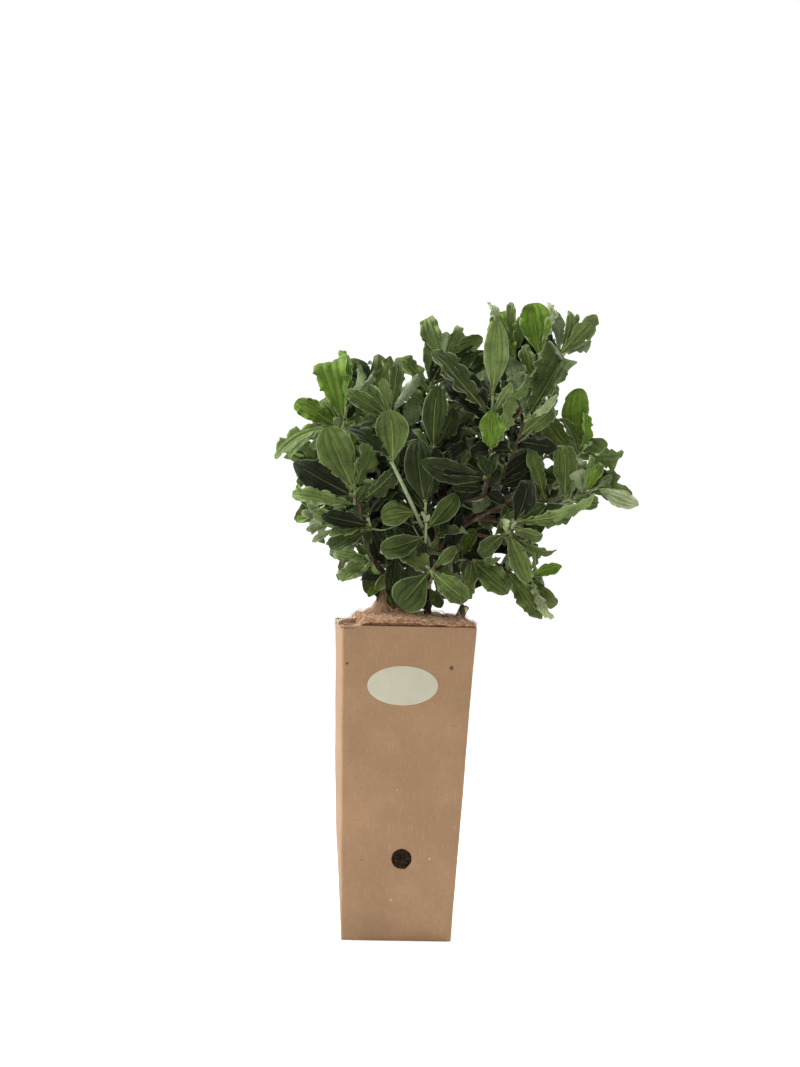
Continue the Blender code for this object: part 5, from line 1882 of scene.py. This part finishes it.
def add_mat():
    """The mat of coconut fibre: a bed with loose fibres all over it."""
    base = plain_material("fibre_bed", (180, 134, 98), 0.95, 0.3, 420, 0.2, bump=0.8)
    # A darker fibre colour, used as painted shadow at the mat's edge where it meets the board.
    shaded = plain_material("fibre_edge", (112, 82, 58), 0.95, 0.3, 420, 0.2, bump=0.8)
    edge = mat_ring(1.0)
    edge[:, 2] -= 1.3 * MM
    low_edge = mat_ring(0.985)
    low_edge[:, 2] -= 2.6 * MM
    skirt = [fine_wall(BOARD + 0.2 * MM, z) for z in (0.284, 0.2945)]
    inward = [mat_ring(1 - 0.95 * (i / MAT_RINGS) ** 1.1) for i in range(MAT_RINGS + 1)]
    rings = [*skirt, low_edge, edge, *inward]
    skin = Skin("fibre_bed", [base, shaded], "coconut_fibre")
    kinds = np.zeros((len(rings) - 1, len(edge)), int)
    # The skirt and the mat's outermost rows take the darker colour, painted shadow all round its edge.
    kinds[:3] = 1
    skin.sheet(np.stack(rings), kinds, ring=True)
    skin.nodes.add("fibre_mat")
    skin.made()
    hairs = Skin("fibres", [plain_material("fibre_" + name, rgb, 0.9, 0.1, 500, 0.3)
                            for name, rgb in FIBRES.items()], "coconut_fibre")
    dice = random.Random(11)
    for n in range(FIBRE_COUNT):
        near_stem = n % 4 == 0
        if near_stem:
            turn, away = dice.uniform(0, 2 * math.pi), abs(dice.gauss(0, 8)) * MM + 2 * MM
            x = LEFT_STEM_FOOT[0] * MM - 4 * MM + away * math.cos(turn)
            y = LEFT_STEM_FOOT[1] * MM + away * math.sin(turn)
        elif n % 4 == 1:
            x, y = dice.uniform(-0.04, 0.066), dice.uniform(-0.066, -0.046)
        else:
            x, y = (dice.uniform(-0.064, 0.068) for _ in range(2))
        if not inside_rim(x, y):
            continue
        add_fibre(hairs, x, y, dice, near_stem)
    hairs.made()


FIBRES = {"pale": (242, 210, 172), "tan": (224, 176, 134), "brown": (172, 122, 84)}
FIBRE_COUNT = 6400
MAT_RINGS = 34


def inside_rim(x, y):
    """Whether a fibre may lie there: over the rim, but within it where the mat is sunk."""
    place = Matrix.Rotation(-POT_TOP_TURN, 2) @ Vector((x - POT_LEAN, y))
    half = POT_TOP_SIDE / 2 + (0.3 * MM if x > -38 * MM else -3 * MM)
    return abs(place.x) < half and abs(place.y) < half


FIBRE_TURNS = (0, 2.09, 4.19)


def add_fibre(hairs, x, y, dice, near_stem):
    """One fibre that curls over the mat, and stands up near the stem."""
    heading = dice.uniform(0, 2 * math.pi)
    length = dice.uniform(5, 15) * MM
    tuft = noise.noise(Vector((x, y, 2)) / (4 * MM))
    lift = dice.uniform(0.25, 1.0) ** 2.5 * (4.0 + 5.0 * max(tuft, 0)) * MM
    curve = dice.uniform(-1.6, 1.6)
    points = []
    px, py = x, y
    for s in range(4):
        share = s / 3
        z = mat_top(px, py)
        rise = lift * math.sin(math.pi * min(share * 1.1, 1)) + (lift * 1.1 * share if near_stem else 0)
        points.append(Vector((px, py, z + rise + 0.1 * MM)))
        heading += curve / 3
        step = length / 3
        nx, ny = px + step * math.cos(heading), py + step * math.sin(heading)
        if inside_rim(nx, ny):
            px, py = nx, ny
        else:
            heading += math.pi / 2
            px, py = px + 0.3 * MM * math.cos(heading), py + 0.3 * MM * math.sin(heading)
    if any((b - a).length < 0.05 * MM for a, b in zip(points, points[1:])):
        return
    radius = dice.uniform(0.12, 0.25) * MM
    rows = []
    for i, (point, (_, side, front)) in enumerate(zip(points, frames(points))):
        size = radius * (1 - 0.4 * abs(i / 1.5 - 1))
        rows.append([tuple(point + (side * math.cos(t) + front * math.sin(t)) * size) for t in FIBRE_TURNS])
    shade = noise.noise(Vector((x, y, 5)) / (3.2 * MM)) + dice.uniform(-0.3, 0.3)
    hairs.sheet(np.array(rows), 0 if shade > 0.12 else 1 if shade > -0.2 else 2, ring=True)
    hairs.nodes.add("fibre_mat")


LEFT_ROLL_POINTS = ((-60.5, -56, 296.2), (-57, -40, 297.2), (-50, -20, 297.5), (-44, 0, 297.0))


def add_twist():
    """The twisted end of fibre at the right, and the one that lies along the rim at the left."""
    grey = plain_material("twist_grey", (104, 90, 66), 0.9, 0.18, 420, 0.2, (1, 1, 0.4), 0.6)
    pale = plain_material("twist_pale", (206, 192, 164), 0.9, 0.14, 420, 0.2, (1, 1, 0.4), 0.6)
    skin = Skin("twisted_fibre", [grey, pale], "twisted_fibre")
    path = curve_through(vectors(TWIST_POINTS), 2 * MM)
    # The right end's grey strands, two of every three, are partly the fibre's own tone and partly painted
    # shade in the gaps of the twist.
    add_strands(skin, path, (TWIST_FOOT_RADIUS + TWIST_TIP_RADIUS) / 2, 6, 0.9, (0, 0, 1))
    skin.nodes.add("twisted_end")
    add_strands(skin, curve_through(vectors(LEFT_ROLL_POINTS), 2 * MM), 2.4 * MM, 4, 2.2, (1,))
    skin.made()


def add_strands(skin, path, radius, count, turns, kinds):
    """Strands that wind round a path as a rope's do. kinds are their materials in turn."""
    length = path_length(path)
    steps = max(8, round(length / (0.7 * MM)))
    for strand in range(count):
        spots = []
        whole = [along(path, length * i / steps)[0] for i in range(steps + 1)]
        for i, (point, (_, side, front)) in enumerate(zip(whole, frames(whole))):
            turn = 2 * math.pi * (strand / count + turns * i / steps)
            spots.append(point + (side * math.cos(turn) + front * math.sin(turn)) * radius * 0.6)
        size = radius * 0.47
        skin.sheet(fine_tube(spots, lambda share: size, 8, 0.8 * MM), kinds[strand % len(kinds)], ring=True)


def dress_soil():
    """Dark soil, with loose crumbs of it in the drain hole."""
    shader = Shader("potting_soil", roughness=0.95, specular=0.2)
    grains = shader.noise(260, 6, 0.75)
    colour = shader.mix(shader.ramp(grains, 0.35, 0.65), linear(30, 22, 18), linear(74, 54, 40))
    colour = shader.mix(specks(shader, 150, 0.16, 0.8), colour, linear(150, 86, 44))
    shader.colour(colour)
    shader.bump(grains, 0.9, 0.002)
    soil = frame["nodes"]["soil"]
    soil.data.materials.clear()
    soil.data.materials.append(shader.made)
    place = hole_place()
    crumbs = Skin("soil_crumbs", [shader.made], "potting_soil")
    dice = random.Random(5)
    for _ in range(90):
        turn, away = dice.uniform(0, 2 * math.pi), HOLE_RADIUS * 1.02 * dice.random() ** 0.5
        depth = BOARD + dice.uniform(0.3, 2.0) * MM
        middle = place + Vector((away * math.cos(turn), depth, away * math.sin(turn)))
        size = dice.uniform(0.6, 1.9) * MM
        lumps = [middle + Vector((0, 0, size * h)) for h in (-1, -0.4, 0.4, 1)]
        crumbs.sheet(fine_tube(lumps, crumb_radius(size), 7, size * 0.5), ring=True)
    crumbs.made()


def crumb_radius(size):
    return lambda share: size * (0.35 + math.sin(math.pi * share))


# Floor, light and camera

def light_tent():
    """White all round, dimmer from the front than from behind and above."""
    world = bpy.data.worlds.new("studio")
    bpy.context.scene.world = world
    world.use_nodes = True
    nodes, links = world.node_tree.nodes, world.node_tree.links
    back = nodes["Background"]
    back.inputs["Color"].default_value = (1, 1, 1, 1)
    split = nodes.new("ShaderNodeSeparateXYZ")
    links.new(nodes.new("ShaderNodeTexCoord").outputs["Generated"], split.inputs[0])
    depth, height = (nodes.new("ShaderNodeMapRange") for _ in range(2))
    for node, socket, limits in ((depth, 1, TENT_FRONT_BACK), (height, 2, TENT_TOP)):
        node.interpolation_type = "SMOOTHSTEP"
        links.new(split.outputs[socket], node.inputs["Value"])
        for name, number in zip(RANGE_SOCKETS, limits):
            node.inputs[name].default_value = number
    total = nodes.new("ShaderNodeMath")
    links.new(depth.outputs[0], total.inputs[0])
    links.new(height.outputs[0], total.inputs[1])
    mix = nodes.new("ShaderNodeMix")
    links.new(nodes.new("ShaderNodeLightPath").outputs["Is Camera Ray"], mix.inputs[0])
    links.new(total.outputs[0], mix.inputs[2])
    mix.inputs[3].default_value = 1.1
    links.new(mix.outputs[0], back.inputs["Strength"])


# The way's depth or height from which and to which the tent gets brighter, and how bright.
TENT_FRONT_BACK = (-0.7, 0.5, 0.24, 0.8)
TENT_TOP = (0.3, 0.95, 0.0, 0.17)


FLOOR_REACH = 6


def studio():
    """The white floor, the lamps and the camera."""
    floor = bpy.data.meshes.new("floor")
    corners = ((-1, -1), (1, -1), (1, 1), (-1, 1))
    floor.from_pydata([(x * FLOOR_REACH, y * FLOOR_REACH, 0) for x, y in corners], [], [(0, 1, 2, 3)])
    floor = bpy.data.objects.new("floor", floor)
    bpy.context.scene.collection.objects.link(floor)
    floor.location.z = -0.2 * MM
    shader = Shader("floor", roughness=0.9, specular=0.0)
    shader.main.inputs["Base Color"].default_value = (0.82, 0.82, 0.82, 1)
    shader.main.inputs["Emission Color"].default_value = (1, 1, 1, 1)
    seen = shader.nodes.new("ShaderNodeLightPath").outputs["Is Camera Ray"]
    shader.links.new(shader.math("MULTIPLY", seen, 0.45), shader.main.inputs["Emission Strength"])
    floor.data.materials.append(shader.made)

    bpy.context.scene.view_settings.view_transform = "Standard"
    light_tent()
    for name, place, size, power, tint in LIGHTS:
        lamp = bpy.data.lights.new(name, "AREA")
        lamp.color = tint
        lamp.size = size
        lamp.energy = power
        made = bpy.data.objects.new(name, lamp)
        made.location = place
        aim = Vector((0, 0, 0.35)) - made.location
        made.rotation_euler = aim.to_track_quat("-Z", "Y").to_euler()
        bpy.context.scene.collection.objects.link(made)

    lens = bpy.data.cameras.new("camera")
    lens.sensor_fit = "AUTO"
    lens.sensor_width = 36
    lens.lens = VIEW_DISTANCE_PX * lens.sensor_width / PHOTO_TALL
    camera = bpy.data.objects.new("camera", lens)
    camera.matrix_world = (Matrix.Translation(CAMERA_PLACE) @ Matrix.Rotation(math.pi / 2, 4, "X")
                           @ Matrix.Rotation(CAMERA_ROLL, 4, "Z"))
    bpy.context.scene.collection.objects.link(camera)
    bpy.context.scene.camera = camera


PHOTO_WIDE, PHOTO_TALL = 800, 1067
VIEW_DISTANCE_PX = 1580
CAMERA_PLACE = (-0.0034, -1.530, 0.3811)
CAMERA_ROLL = math.radians(1.3549)
# Each lamp's name, place, size, power and colour.
LIGHTS = (("upper left", (-1.3, -0.1, 1.6), 0.6, 39, (0.94, 0.985, 1.06)),
          ("upper right", (1.1, 0.6, 1.7), 0.6, 30, (1, 1, 1)),
          ("front", (0.3, -1.9, 1.3), 1.2, 6, (1, 1, 1)))


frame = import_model()
limbs = grow_limbs()
shoots = grow_shoots(limbs)
leaves, taken = grow_leaves(limbs, shoots)
add_pot()
add_label()
add_mat()
add_twist()
dress_soil()
add_stems(limbs)
twigs = add_foliage(shoots, leaves, side_twigs(shoots, taken), taken)
add_twigs(shoots, twigs)
studio()
